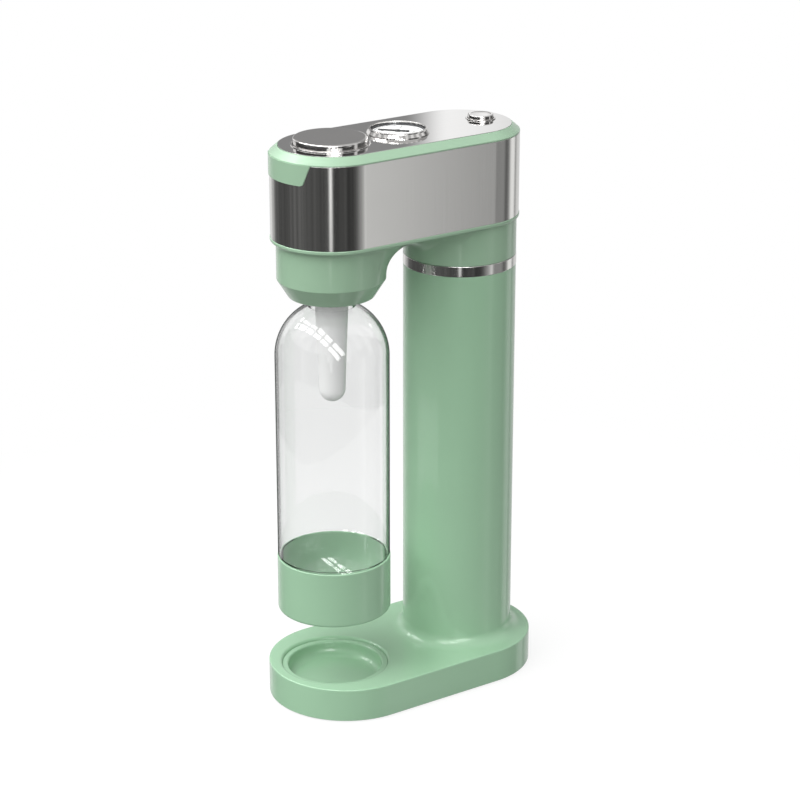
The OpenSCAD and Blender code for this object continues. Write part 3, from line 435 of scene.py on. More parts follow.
@dataclass(frozen=True)
class Clear(Finish):
    """Thin clear plastic: see-through face on, mirror-like at the edge."""

    through: Colour
    gloss: float
    straight_on: float
    haze: float
    grazing: float = 0.28
    dull: Colour = (0.80, 0.83, 0.83)
    bright: Colour = (0.90, 0.92, 0.92)
    scuff_scale: Place = (220.0, 220.0, 45.0)
    scuff_edge: Point = (0.52, 0.75)
    scuffing: float = 0.03

    def build(self, bench: NodeBench) -> Flow:
        """Build the shader.

        Args:
            bench: the material's bench.

        Returns:
            The shader, ready for the material's output.
        """
        place = bench.place()
        scuffs = bench.noise(bench.stretch(place, self.scuff_scale), 1.0, 4.0)
        aside = bench.node("ShaderNodeLayerWeight", None, {"Blend": 0.5}, "Facing")
        edge = self.straight_on + self.grazing * aside.power(5.0)
        glossy = bench.surface(
            {
                "Base Color": bench.tint(scuffs, self.dull, self.bright),
                "Metallic": 1.0,
                "Roughness": self.gloss + self.scuffing * (scuffs - 0.5),
            }
        )
        share = edge + self.haze * bench.ease(scuffs, *self.scuff_edge)
        return bench.mix(share, bench.clear(self.through), glossy)


@dataclass(frozen=True)
class Blown(Finish):
    """Clear blown plastic that bends light but casts hardly any shadow, and darkens towards its
    outline in painted shade.
    """

    colour: Colour
    # Dark see-through colour of the painted shade at the outline.
    rim: Colour
    gloss: float = 0.015
    index: float = 1.46
    waves: float = 4e-4
    wave_scale: Place = (26.0, 26.0, 7.0)
    scuff_scale: Place = (420.0, 420.0, 60.0)
    scuff_edge: Point = (0.55, 0.8)
    scuffing: float = 0.02
    rim_shade_share: float = 0.9
    rim_shade_edge: Point = (0.70, 0.84)
    unlit: Colour = (0.985, 0.988, 0.987)

    def build(self, bench: NodeBench) -> Flow:
        """Build the shader.

        Args:
            bench: the material's bench.

        Returns:
            The shader, ready for the material's output.
        """
        place = bench.place()
        flow = bench.noise(bench.stretch(place, self.wave_scale), 1.0, 2.0)
        scuffs = bench.noise(bench.stretch(place, self.scuff_scale), 1.0, 4.0)
        aside = bench.node("ShaderNodeLayerWeight", None, {"Blend": 0.5}, "Facing")
        bends = bench.surface(
            {
                "Base Color": bench.tint(flow, self.colour, shade(self.colour, 1.01)),
                "Roughness": self.gloss + self.scuffing * bench.ease(scuffs, *self.scuff_edge),
                "Transmission Weight": 1.0,
                "IOR": self.index,
                "Normal": bench.bump(flow, self.waves),
            }
        )
        # Painted shade: towards its outline the plastic turns into the dark see-through rim colour.
        edge = self.rim_shade_share * bench.ease(aside, *self.rim_shade_edge)
        bends = bench.mix(edge, bends, bench.clear(self.rim))
        ray = bench.node("ShaderNodeLightPath", output="Is Shadow Ray")
        passes = ray.peak(ray.also("Is Diffuse Ray"))
        return bench.mix(passes, bends, bench.clear(self.unlit))


@dataclass(frozen=True)
class Rubber(Finish):
    """Matte rubber with a dusty bloom."""

    colour: Colour
    dust: float = 1.7
    roughness: float = 0.72
    bloom_scale: float = 160.0
    bloom_share: float = 0.2
    grain_scale: float = 3200.0
    grain: float = 4e-5

    def build(self, bench: NodeBench) -> Flow:
        """Build the shader.

        Args:
            bench: the material's bench.

        Returns:
            The shader, ready for the material's output.
        """
        place = bench.place()
        bloom = bench.noise(place, self.bloom_scale, 4.0)
        grain = bench.noise(place, self.grain_scale, 2.0)
        return bench.surface(
            {
                "Base Color": bench.tint(bloom, self.colour, shade(self.colour, self.dust)),
                "Roughness": self.roughness + self.bloom_share * (bloom - 0.5),
                "Normal": bench.bump(grain, self.grain),
            }
        )


@dataclass(frozen=True)
class DialPrint(Finish):
    """White dial with plain printed ticks round three quarters of it."""

    centre_y: float
    paper: Colour = (0.97, 0.97, 0.96)
    ink: Colour = (0.03, 0.03, 0.035)
    first_turn: float = 225.0
    sweep: float = 270.0
    parts: int = 15
    long_each: int = 5
    short_half: float = 0.16
    long_half: float = 0.30
    short_in: float = 15.2
    long_in: float = 13.6
    ticks_out: float = 17.4
    line_out: float = 17.75
    rim_r: float = 19.3
    tones: Point = (0.97, 1.03)
    roughness: float = 0.55
    fibre_scale: float = 1800.0
    fibre_share: float = 0.1
    fibre: float = 8e-6

    def build(self, bench: NodeBench) -> Flow:
        """Build the shader.

        Args:
            bench: the material's bench.

        Returns:
            The shader, ready for the material's output.
        """
        place = bench.place()
        axes = bench.node("ShaderNodeSeparateXYZ", None, {0: place}, "X")
        across = axes / MM
        along = (axes.also("Y") / MM) - self.centre_y
        out = (across * across + along * along).root()
        turn = (radians(self.first_turn) - along.angle_from(across)) / tau
        clock = (turn + 2.0).part() * (360.0 / self.sweep)
        near, wide = (self.beside(clock, out, n) for n in (self.parts, self.parts / self.long_each))
        ticks = out.under(self.ticks_out)
        short = near.under(self.short_half) * out.over(self.short_in) * ticks
        long = wide.under(self.long_half) * out.over(self.long_in) * ticks
        line = out.over(self.ticks_out) * out.under(self.line_out)
        mark = (short.peak(long).peak(line) * clock.under(1.01)).peak(out.over(self.rim_r))
        fibre = bench.noise(place, self.fibre_scale, 3.0)
        paper = bench.tint(fibre, *(shade(self.paper, tone) for tone in self.tones))
        return bench.surface(
            {
                "Base Color": bench.tint(mark, paper, self.ink),
                "Roughness": self.roughness + self.fibre_share * (fibre - 0.5),
                "Normal": bench.bump(fibre, self.fibre),
            }
        )

    def beside(self, clock: Flow, out: Flow, parts: float) -> Flow:
        """Distance round the dial to the nearest of so many ticks."""
        return abs((clock * parts + 0.5).part() - 0.5) * (radians(self.sweep) / parts) * out


SAGE = Moulded("sage_plastic", (0.315, 0.520, 0.345))
# Painted shade: the boot's copy of the sage plastic is a little darker.
SHADED_BOOT_SAGE = Moulded("shaded_boot_plastic", shade(SAGE.colour, 0.98))
# Painted shade: the head's copy of the sage plastic is darker and greyer, and the bevel's copy with
# a rougher coat keeps that colour.
SHADED_HEAD_SAGE = Moulded("shaded_head_plastic", (0.303, 0.466, 0.322))
SHADED_BEVEL_SAGE = Moulded("shaded_bevel_plastic", SHADED_HEAD_SAGE.colour, coat_roughness=0.25)
SMOKE = Moulded("dark_plastic", (0.022, 0.022, 0.024), 0.5, 3e-5, 2200.0, 0.1, coat=0.0)
GREY = Moulded("grey_plastic", (0.17, 0.175, 0.18), 0.45, 2e-5, 2200.0, 0.05, coat=0.0)
FROST = Moulded("frosted_plastic", (0.90, 0.90, 0.895), 0.42, 1.5e-5, 2600.0, 0.02, 0.1, 0.3)
TUBING = Moulded("hose", (0.70, 0.70, 0.68), 0.38, 1e-5, 1500.0, 0.04, 0.1, 0.3)
BAND_STEEL = Metal("band_steel", (0.745, 0.74, 0.718), 0.13, Lay.UPRIGHT, 0.08)
PLATE_STEEL = Metal("plate_steel", (0.78, 0.772, 0.765), 0.035, Lay.LENGTHWISE, 0.015, 1.5e-6)
CHROME = Metal("chrome_trim", (0.81, 0.795, 0.78), 0.08, Lay.TURNED, 0.05)
PLATED = Metal("bare_steel", (0.55, 0.55, 0.56), 0.28, Lay.TURNED, 0.2, 8e-6)
BRASS = Metal("brass", (0.62, 0.42, 0.16), 0.28, Lay.TURNED, 0.2, 8e-6)
SATIN = Metal("cylinder_aluminium", (0.52, 0.53, 0.55), 0.36, Lay.TURNED, 0.2, 6e-6)
# The second colour is the painted shade at the bottle's outline.
BOTTLE_CLEAR = Blown("clear_bottle", (0.932, 0.936, 0.934), (0.24, 0.26, 0.25))
LENS_CLEAR = Clear("clear_lens", (0.998, 0.999, 0.999), 0.03, straight_on=0.015, haze=0.005)
BLACK_RUBBER = Rubber("black_rubber", (0.018, 0.018, 0.019))
INK = Moulded("needle_black", (0.012, 0.012, 0.013), 0.45, 1e-5, 2200.0, 0.1, coat=0.0)

BY_SLOT: dict[str, Finish] = {
    "sage_plastic": SAGE,
    "polished_steel": BAND_STEEL,
    "chrome_trim": CHROME,
    "dark_plastic": SMOKE,
    "black_rubber": BLACK_RUBBER,
    "bare_steel": PLATED,
    "brass": BRASS,
    "cylinder_aluminium": SATIN,
    "clear_bottle": BOTTLE_CLEAR,
    "clear_lens": LENS_CLEAR,
    "frosted_plastic": FROST,
    "grey_plastic": GREY,
    "hose": TUBING,
}


def section(corners: Sequence[Corner], closed: bool = False) -> list[Point]:
    """Points of a line with rounded corners.

    Args:
        corners: (out, up) or (out, up, round) of each corner.
        closed: whether the last corner runs back to the first.

    Returns:
        The points in order, without the first one again at the end.
    """
    points: list[Point] = []
    count = len(corners)
    for i, corner in enumerate(corners):
        at = Vector(corner[:2])
        rounding = corner[2] if len(corner) > 2 else 0.0
        if rounding == 0 or (not closed and i in (0, count - 1)):
            points.append(tuple(at))
            continue
        before = (Vector(corners[i - 1][:2]) - at).normalized()
        after = (Vector(corners[(i + 1) % count][:2]) - at).normalized()
        half = before.angle(after) / 2
        centre = at + (before + after).normalized() * (rounding / sin(half))
        start = at + before * (rounding / tan(half)) - centre
        first = atan2(start.y, start.x)
        swing = pi - 2 * half
        if before.x * after.y - before.y * after.x > 0:
            swing = -swing
        steps = max(2, ceil(abs(swing) / ARC_STEP))
        for k in range(steps + 1):
            turn = first + swing * k / steps
            points.append((centre.x + rounding * cos(turn), centre.y + rounding * sin(turn)))
    return points


def arc(centre: Point, radius: float, first: float, last: float, steps: int) -> list[Point]:
    """Points of an arc.

    Args:
        centre: its middle.
        radius: its radius.
        first: first angle in degrees, from straight out.
        last: last angle in degrees.
        steps: how many equal steps it takes.

    Returns:
        The points from first to last.
    """
    turns = [radians(first + (last - first) * k / steps) for k in range(steps + 1)]
    return [(centre[0] + radius * cos(t), centre[1] + radius * sin(t)) for t in turns]


class Piece:
    """One mesh on the bench, modelled in edit mode."""

    def __init__(self, name: str) -> None:
        """Start an empty mesh, open for editing.

        Args:
            name: name of the object and of its mesh.
        """
        self.clear_bench()
        bpy.ops.mesh.primitive_plane_add(size=MM)
        self.obj = bpy.context.object
        self.obj.name = name
        self.obj.data.name = name
        bpy.ops.object.mode_set(mode="EDIT")
        bpy.ops.mesh.select_mode(type="VERT")
        bpy.ops.mesh.delete(type="VERT")

    @classmethod
    def turned(
        cls,
        name: str,
        corners: Sequence[Corner],
        y: float,
        closed: bool = False,
        steps: int = ROUND_STEPS,
    ) -> "Piece":
        """Make a finished piece by turning a section round the axis at y.

        Args:
            name: name of the object.
            corners: corners of the section.
            y: where the axis stands.
            closed: whether the section is a closed ring.
            steps: steps in the round.

        Returns:
            The piece.
        """
        piece = cls(name)
        piece.lathe(section(corners, closed), y, closed, steps)
        piece.finish()
        return piece

    @staticmethod
    def clear_bench() -> None:
        """Leave edit mode and let go of everything."""
        if bpy.context.object and bpy.context.object.mode != "OBJECT":
            bpy.ops.object.mode_set(mode="OBJECT")
        bpy.ops.object.select_all(action="DESELECT")

    def trace(self, points: Sequence[Vector]) -> None:
        """Draw a line of edges and leave it selected.

        Args:
            points: its points in metres.
        """
        bpy.ops.mesh.select_mode(type="VERT")
        bpy.ops.mesh.select_all(action="DESELECT")
        bpy.ops.mesh.primitive_plane_add(size=MM, location=points[0])
        bpy.ops.mesh.merge(type="CENTER")
        for here, there in zip(points, points[1:]):
            bpy.ops.mesh.extrude_vertices_move(TRANSFORM_OT_translate={"value": there - here})
        bpy.ops.mesh.select_linked()

    def merge(self) -> None:
        """Join points that lie on each other."""
        bpy.ops.mesh.select_all(action="SELECT")
        bpy.ops.mesh.remove_doubles(threshold=MERGE)

    def profile(self, points: Sequence[Point], y: float, closed: bool) -> None:
        """Trace a section beside the axis at y.

        Args:
            points: (out, up) points.
            y: where the axis stands.
            closed: whether the line runs back to its start.
        """
        line = [*points, points[0]] if closed else points
        self.trace([Vector((out, y, up)) * MM for out, up in line])

    def lathe(
        self, points: Sequence[Point], y: float, closed: bool = False, steps: int = ROUND_STEPS
    ) -> None:
        """Spin a section all the way round the axis at y.

        Args:
            points: (out, up) points.
            y: where the axis stands.
            closed: whether the section is a closed ring.
            steps: steps in the round.
        """
        self.profile(points, y, closed)
        bpy.ops.mesh.spin(steps=steps, angle=tau, center=(0, y * MM, 0), axis=(0, 0, 1))
        self.merge()

    def wrap(
        self, points: Sequence[Point], front: float, rear: float, closed: bool = False
    ) -> None:
        """Carry a section round a round-ended outline.

        Args:
            points: (out, up) points.
            front: y of the front end's centre.
            rear: y of the rear end's centre.
            closed: whether the section is a closed ring.
        """
        self.profile(points, rear, closed)
        for here, there in ((rear, front), (front, rear)):
            bpy.ops.mesh.spin(steps=HALF_STEPS, angle=-pi, center=(0, here * MM, 0), axis=(0, 0, 1))
            self.draw_out((0, (there - here) * MM, 0))
        self.merge()

    @staticmethod
    def draw_out(way: Sequence[float]) -> None:
        """Extrude what is selected by a way in metres."""
        bpy.ops.mesh.extrude_region_move(TRANSFORM_OT_translate={"value": way})

    def shell(self, ribs: Sequence[Sequence[Point]], turns: Sequence[float], y: float) -> None:
        """Lay a closed skin over ribs that stand round an axis.

        Args:
            ribs: closed (out, up) outline of each rib, all of one length.
            turns: the direction that each rib stands in.
            y: where the axis stands.
        """
        columns, rows = len(turns), len(ribs[0])
        bpy.ops.mesh.primitive_grid_add(x_subdivisions=columns, y_subdivisions=rows, size=MM)
        net = bmesh.from_edit_mesh(self.obj.data)
        # The grid's points come in no fixed order, so they are put in rows first
        for place, vert in enumerate(sorted(net.verts, key=lambda v: (v.co.y, v.co.x))):
            column, row = place % (columns + 1) % columns, place // (columns + 1) % rows
            out, up = ribs[column][row]
            vert.co = Vector((out * cos(turns[column]), y + out * sin(turns[column]), up)) * MM
        bmesh.update_edit_mesh(self.obj.data)
        self.merge()

    def cap(self, up: float) -> None:
        """Fill between all open edges at one height.

        Args:
            up: the height.
        """
        bpy.ops.mesh.select_mode(type="EDGE")
        bpy.ops.mesh.select_all(action="DESELECT")
        net = bmesh.from_edit_mesh(self.obj.data)
        for edge in net.edges:
            if edge.is_boundary and all(abs(v.co.z - up * MM) < LEVEL for v in edge.verts):
                edge.select_set(True)
        bmesh.update_edit_mesh(self.obj.data)
        bpy.ops.mesh.fill(use_beauty=True)
        bpy.ops.mesh.select_mode(type="VERT")

    def tube(self, points: Sequence[Vector], radius: float, resolution: int = 5) -> None:
        """Run a round wire or hose with closed ends along points in metres.

        Args:
            points: the middle line.
            radius: radius in millimetres.
            resolution: roundness of the section.
        """
        self.trace(points)
        bpy.ops.object.mode_set(mode="OBJECT")
        bpy.ops.object.convert(target="CURVE")
        self.obj.data.bevel_depth = radius * MM
        self.obj.data.bevel_resolution = resolution
        self.obj.data.use_fill_caps = True
        bpy.ops.object.convert(target="MESH")
        bpy.ops.object.mode_set(mode="EDIT")

    def keep_inside(self, tool: "Piece") -> None:
        """Keep only what lies inside another piece, and use that piece up.

        Args:
            tool: the other piece.
        """
        self.clear_bench()
        bpy.context.view_layer.objects.active = self.obj
        self.obj.select_set(True)
        cut = self.obj.modifiers.new("keep", "BOOLEAN")
        cut.operation = "INTERSECT"
        cut.solver = "EXACT"
        cut.object = tool.obj
        bpy.ops.object.modifier_apply(modifier=cut.name)
        self.clear_bench()
        tool.obj.select_set(True)
        bpy.ops.object.delete()
        bpy.context.view_layer.objects.active = self.obj
        self.obj.select_set(True)
        bpy.ops.object.mode_set(mode="EDIT")

    def finish(self, edge: float = 0.0) -> None:
        """Close the mesh, turn it outwards and shade it.

        Args:
            edge: width of a small round put on all sharp edges, or nought.
        """
        self.merge()
        bpy.ops.mesh.normals_make_consistent(inside=False)
        bpy.ops.object.mode_set(mode="OBJECT")
        if edge:
            bevel = self.obj.modifiers.new("edge", "BEVEL")
            bevel.width = edge * MM
            bevel.segments = 3
            bevel.limit_method = "ANGLE"
            bevel.angle_limit = SMOOTH_ANGLE
            bpy.ops.object.modifier_apply(modifier=bevel.name)
        bpy.ops.object.shade_smooth_by_angle(angle=SMOOTH_ANGLE)
        weigh = self.obj.modifiers.new("weigh", "WEIGHTED_NORMAL")
        weigh.keep_sharp = True
        bpy.ops.object.modifier_apply(modifier=weigh.name)

    def dress(self, finish: Finish, slot: str, body: Body, *nodes: str) -> None:
        """Give the piece its finish and its place in the frame.

        Args:
            finish: its finish.
            slot: the record's slot that the finish belongs to; not used.
            body: the body it rides on.
            nodes: CAD nodes that it stands for.
        """
        self.clear_bench()
        self.obj.data.materials.clear()
        self.obj.data.materials.append(finish.material())
        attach(self.obj, body.value)
        if nodes:
            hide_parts(*nodes)
        LOG.info("%s: %d faces, on %s", self.obj.name, len(self.obj.data.polygons), body.value)


@dataclass
class Stand:
    """Base and column in one moulding, with the tray and the bright ring."""

    front_end: float = -50.5
    rear_end: float = 50.5
    base_r: float = 60.5
    base_top: float = 27.0
    base_low: float = 1.2
    skin_in: float = 57.85
    plate_top: float = 3.75
    column_y: float = COLUMN_Y
    column_r: float = 42.7
    column_top: float = 328.0
    foot_round: float = 9.0
    spigot_r: float = 41.4
    bore_r: float = 40.1
    spigot_top: float = 353.1
    tray_y: float = BOTTLE_Y
    seat_r: float = 40.6
    seat_z: float = 23.4
    well_r: float = 39.6
    well_z: float = 9.5
    edge_round: float = 1.0
    lip_round: float = 2.6

    def build(self) -> None:
        """Build and dress the stand's pieces."""
        self.build_shell()
        self.build_tray()
        self.build_ring()

    def build_shell(self) -> None:
        """Base skin, column and tray well, joined by the base's flat top."""
        shell = Piece("stand")
        skin = section(
            [
                (self.base_r - 2.0, self.base_top),
                (self.base_r, self.base_top, self.edge_round),
                (self.base_r, self.base_low, 0.6), (self.skin_in, self.base_low),
                (self.skin_in, self.plate_top),
            ]
        )
        shell.wrap(skin, self.front_end, self.rear_end)
        column = section(
            [
                (self.column_r + self.foot_round + 0.6, self.base_top),
                (self.column_r, self.base_top, self.foot_round),
                (self.column_r, self.column_top, 0.4), (self.spigot_r, self.column_top),
                (self.spigot_r, self.spigot_top), (self.bore_r, self.spigot_top),
                (self.bore_r, self.plate_top),
            ]
        )
        shell.lathe(column, self.column_y)
        well = section(
            [
                (self.seat_r + 3.2, self.base_top),
                (self.seat_r, self.base_top, self.lip_round), (self.seat_r, self.seat_z, 0.3),
                (self.well_r, self.seat_z), (self.well_r, self.well_z, 2.0), (0.0, self.well_z),
            ]
        )
        shell.lathe(well, self.tray_y)
        shell.cap(self.base_top)
        shell.cap(self.plate_top)
        shell.finish()
        shell.dress(SAGE, "sage_plastic", Body.FRAME, "stand_shell")

    def build_tray(self) -> None:
        """Lift-out tray with a flat lip and a dished bowl."""
        outline = [
            (0.0, 13.9), (36.0, 13.9, 7.0), (36.0, 24.9, 1.6), (40.5, 24.9, 0.35),
            (40.5, 23.45, 0.2), (39.1, 23.45), (39.1, 12.45, 7.0), (0.0, 12.45),
        ]
        tray = Piece.turned("tray_bowl", outline, self.tray_y)
        tray.dress(SAGE, "sage_plastic", Body.TRAY, "drip_tray")

    def build_ring(self) -> None:
        """Bright ring between column and head."""
        outline = [(41.45, 328.05), (42.9, 328.05, 0.45), (42.9, 336.25, 0.45), (41.45, 336.25)]
        ring = Piece.turned("ring_trim", outline, self.column_y, True)
        ring.dress(BAND_STEEL, "chrome_trim", Body.FRAME, "column_ring")


def smooth(value: float, low: float, high: float) -> float:
    """Smooth step from nought at low to one at high."""
    share = min(max((value - low) / (high - low), 0.0), 1.0)
    return share * share * (3.0 - 2.0 * share)


@dataclass
class Flare:
    """Round shell under the head whose wall spreads out to the bead.

    Attributes:
        foot: corners of its outside, up to where the spread may start.
        inside: points of its inside, from the lid down.
        rise: height of the spread where there is little and where there is much room.
        room: what counts as little and as much room.
        lowest: how far down the spread may start.
        middle: where the two shells meet under the arch.
        arch_edge: how far out the arch's ceiling starts to rise and reaches the bead.
    """

    name: str
    y: float
    wall_r: float
    bore_r: float
    foot: Sequence[Corner]
    inside: Sequence[Point]
    rise: Point
    room: Point
    lowest: float
    outline_r: float = 44.0
    front_end: float = HEAD_FRONT_Y
    rear_end: float = HEAD_REAR_Y
    middle: float = -5.2
    bead_low: float = BEAD_Z
    arch_low: float = 356.5
    arch_edge: Point = (12.0, 44.0)
    skin: float = 2.6
    step: float = 2.0
    cove_steps: int = 12

    def reach(self, turn: float) -> float:
        """Distance from the axis to the head's outline in one direction.

        Args:
            turn: the direction, in radians from +X.

        Returns:
            The distance.
        """
        side = self.outline_r / max(abs(cos(turn)), LEVEL)
        met = self.y + side * sin(turn)
        if self.front_end <= met <= self.rear_end:
            return side
        off = self.y - (self.rear_end if met > self.rear_end else self.front_end)
        run = off * sin(turn)
        return sqrt(run * run - off * off + self.outline_r**2) - run

    def rib(self, turn: float) -> list[Point]:
        """Closed section of the shell in one direction.

        Args:
            turn: the direction, in radians from +X.

        Returns:
            (out, up) points, from the foot over the spread and back inside.
        """
        far, up = self.reach(turn), self.bead_low
        gap = self.middle - self.y
        ahead = gap * sin(turn)
        if ahead > LEVEL and gap**2 / ahead < far:
            far = gap**2 / ahead
            aside = smooth(abs(far * cos(turn)), *self.arch_edge)
            up = self.arch_low + (up - self.arch_low) * aside
        room = far - self.wall_r
        small, tall = self.rise
        rise = min(small + (tall - small) * smooth(room, *self.room), up - self.lowest)
        angles = [pi / 2 * k / self.cove_steps for k in range(self.cove_steps + 1)]
        cove = [(self.wall_r + room * (1 - cos(a)), up - rise * (1 - sin(a))) for a in angles]
        lid = [(far, up + self.skin), (self.bore_r, up + self.skin)]
        return [*section(self.foot)[:-1], *cove, *lid, *self.inside]

    def build(self, *nodes: str) -> None:
        """Build and dress the shell.

        Args:
            nodes: CAD nodes that it stands for.
        """
        turns = [radians(self.step) * k - pi for k in range(round(360 / self.step))]
        turns += [atan2(self.middle - self.y, side * self.outline_r) for side in (1, -1)]
        turns.sort()
        piece = Piece(self.name)
        piece.shell([self.rib(turn) for turn in turns], turns, self.y)
        piece.finish()
        piece.dress(SHADED_HEAD_SAGE, "sage_plastic", Body.FRAME, *nodes)


NOZZLE_CUP = Flare(
    name="nozzle_cup",
    y=BOTTLE_Y,
    wall_r=40.3,
    bore_r=38.1,
    foot=[(21.8, 322.7), (32.0, 322.7, 1.2), (40.3, 336.0, 1.2), (40.3, 338.0)],
    inside=[(38.1, 337.0), (29.5, 324.9), (21.8, 324.9)],
    rise=(3.5, 28.0),
    room=(3.0, 10.0),
    lowest=338.0,
)
COLUMN_NECK = Flare(
    name="column_neck",
    y=COLUMN_Y,
    wall_r=42.7,
    bore_r=41.55,
    foot=[(41.55, 336.32), (42.7, 336.32, 0.4), (42.7, 338.0)],
    inside=[],
    rise=(0.4, 12.0),
    room=(1.5, 10.0),
    lowest=338.0,
)


@dataclass
class Head:
    """Shells under the head, band, bevelled frame with its tab, and top plate."""

    front_end: float = HEAD_FRONT_Y
    rear_end: float = HEAD_REAR_Y
    head_r: float = 45.0
    band_low: float = 368.0
    band_top: float = 429.8
    top_z: float = 436.1
    plate_low: float = 434.9
    plate_r: float = 38.75
    bead_low: float = BEAD_Z
    bead_in: float = 41.5
    bead_out: float = 45.4
    rim_in: float = 36.55
    skirt: Point = (39.7, 41.2)
    skirt_deep: float = 8.0
    tab_skin: Point = (45.04, 45.7)
    tab_half: Point = (22.5, 27.5)
    tab_low: float = 415.0
    holes: Sequence[Point] = ((28.35, BOTTLE_Y), (21.3, GAUGE_Y), (10.7, RELEASE_Y))

    def build(self) -> None:
        """Build and dress the head's pieces."""
        NOZZLE_CUP.build("head_housing")
        COLUMN_NECK.build()
        self.build_bead()
        self.build_band()
        self.build_rim()
        self.build_tab()
        self.build_plate()

    def build_bead(self) -> None:
        """Rounded lip below the band."""
        bead = Piece("bead_lip")
        low, top, out = self.bead_low, self.band_low - FIT, self.bead_out
        outline = [(self.bead_in, low), (out, low, 1.3), (out, top, 0.5), (self.bead_in, top)]
        bead.wrap(section(outline, True), self.front_end, self.rear_end, True)
        bead.finish()
        bead.dress(SHADED_HEAD_SAGE, "sage_plastic", Body.FRAME)

    def build_band(self) -> None:
        """Steel band that wraps the head."""
        band = Piece("wrap_band")
        r, low, top = self.head_r, self.band_low, self.band_top
        outline = [(r - 0.9, low), (r, low, 0.2), (r, top, 0.2), (r - 0.9, top)]
        band.wrap(section(outline, True), self.front_end, self.rear_end, True)
        band.finish()
        band.dress(BAND_STEEL, "polished_steel", Body.FRAME, "head_band")

    def build_rim(self) -> None:
        """Bevelled frame round the top plate."""
        rim = Piece("bevel_frame")
        r, low, top = self.head_r, self.band_top + FIT, self.top_z
        inner, seat = self.plate_r + 0.05, self.plate_low - FIT
        near, far = self.skirt
        deep = low - self.skirt_deep
        outline = [
            (self.rim_in, low), (near, low), (near, deep), (far, deep), (far, low),
            (r, low, 0.2), (r, low + 1.0, 0.7), (inner, top, 0.35), (inner, seat),
            (self.rim_in, seat),
        ]
        rim.wrap(section(outline, True), self.front_end, self.rear_end, True)
        rim.finish()
        rim.dress(SHADED_BEVEL_SAGE, "sage_plastic", Body.FRAME, "top_rim")

    def build_tab(self) -> None:
        """Tab that hangs from the frame over the band at the front."""
        tab = Piece("front_tab")
        near, far = self.tab_skin
        ring = [(near, 412.0), (far, 412.0), (far, 430.6), (near, 430.6)]
        tab.lathe(ring, self.front_end, True)
        tab.finish()
        block = Piece("tab_block")
        (foot, root), low, top = self.tab_half, self.tab_low, 430.3
        corners = [(root, top), (foot, low, 3.0), (-foot, low, 3.0), (-root, top)]
        front = self.front_end - self.head_r - 4.0
        block.trace([Vector((x, front, z)) * MM for x, z in section(corners)])
        bpy.ops.mesh.edge_face_add()
        Piece.draw_out((0, self.head_r * MM, 0))
        block.finish()
        tab.keep_inside(block)
        tab.finish(0.22)
        tab.dress(SHADED_HEAD_SAGE, "sage_plastic", Body.FRAME)

    def build_plate(self) -> None:
        """Top plate with its three round holes."""
        plate = Piece("deck_plate")
        r, low, top = self.plate_r, self.plate_low, self.top_z
        edge = [(r - 0.8, top), (r, top, 0.15), (r, low, 0.15), (r - 0.8, low)]
        plate.wrap(section(edge), self.front_end, self.rear_end)
        for hole, y in self.holes:
            rim = [(hole + 0.6, top), (hole, top, 0.15), (hole, low, 0.15), (hole + 0.6, low)]
            plate.lathe(section(rim), y)
        plate.cap(top)
        plate.cap(low)
        plate.finish()
        plate.dress(PLATE_STEEL, "polished_steel", Body.FRAME, "top_plate")


@dataclass
class PushButton:
    """Large push button with the ring it slides in and its spring."""

    y: float = BOTTLE_Y
    radius: float = 27.0
    top: float = 441.3
    low: float = 428.3
    wall: float = 1.5
    wire: float = 0.8

    def build(self) -> None:
        """Build and dress the button's pieces."""
        r, top, low = self.radius, self.top, self.low
        outer = [
            (0.0, top), (r, top, 1.5), (r, low, 0.3), (r - self.wall, low, 0.3),
            (r - self.wall, top - self.wall - 0.4, 0.8), (8.0, top - self.wall - 0.4),
            (8.0, 429.8, 0.3), (5.1, 429.8), (5.1, top - 2.95), (0.0, top - 2.95),
        ]
        cap = Piece.turned("push_cap", outer, self.y)
        cap.dress(CHROME, "chrome_trim", Body.BUTTON, "button_cap")
        outline = [
            (27.35, 433.1), (28.3, 433.1), (28.3, 436.12), (29.0, 436.12), (29.0, 436.8, 0.35),
            (27.35, 436.8, 0.35),
        ]
        ring = Piece.turned("push_ring", outline, self.y, True)
        ring.dress(CHROME, "chrome_trim", Body.FRAME, "button_collar")
        spring = Piece("push_spring")
        spring.tube(coil(self.y, 10.6, self.wire, 418.5, 439.8, 5), self.wire)
        spring.finish()
        spring.dress(PLATED, "bare_steel", Body.FRAME, "button_spring")
        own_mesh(spring.obj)


def coil(y: float, radius: float, wire: float, low: float, high: float, turns: int) -> list[Vector]:
    """Middle line of a coil spring with closed end turns.

    Args:
        y: where its axis stands.
        radius: mean radius.
        wire: radius of the wire.
        low: height of its lower end face.
        high: height of its upper end face.
        turns: open turns.

    Returns:
        Points in metres.
    """
    per_turn = 28
    closed = 0.8
    total = turns + 2 * closed
    start, end = low + wire, high - wire
    rise = end - start - 4 * wire * closed
    points = []
    for k in range(int(total * per_turn) + 1):
        turn = k / per_turn
        flat = min(turn, closed) + max(0.0, turn - turns - closed)
        up = start + 2 * wire * flat + rise * min(max(turn - closed, 0.0), turns) / turns
        points.append(Vector((radius * cos(tau * turn), y + radius * sin(tau * turn), up)) * MM)
    return points


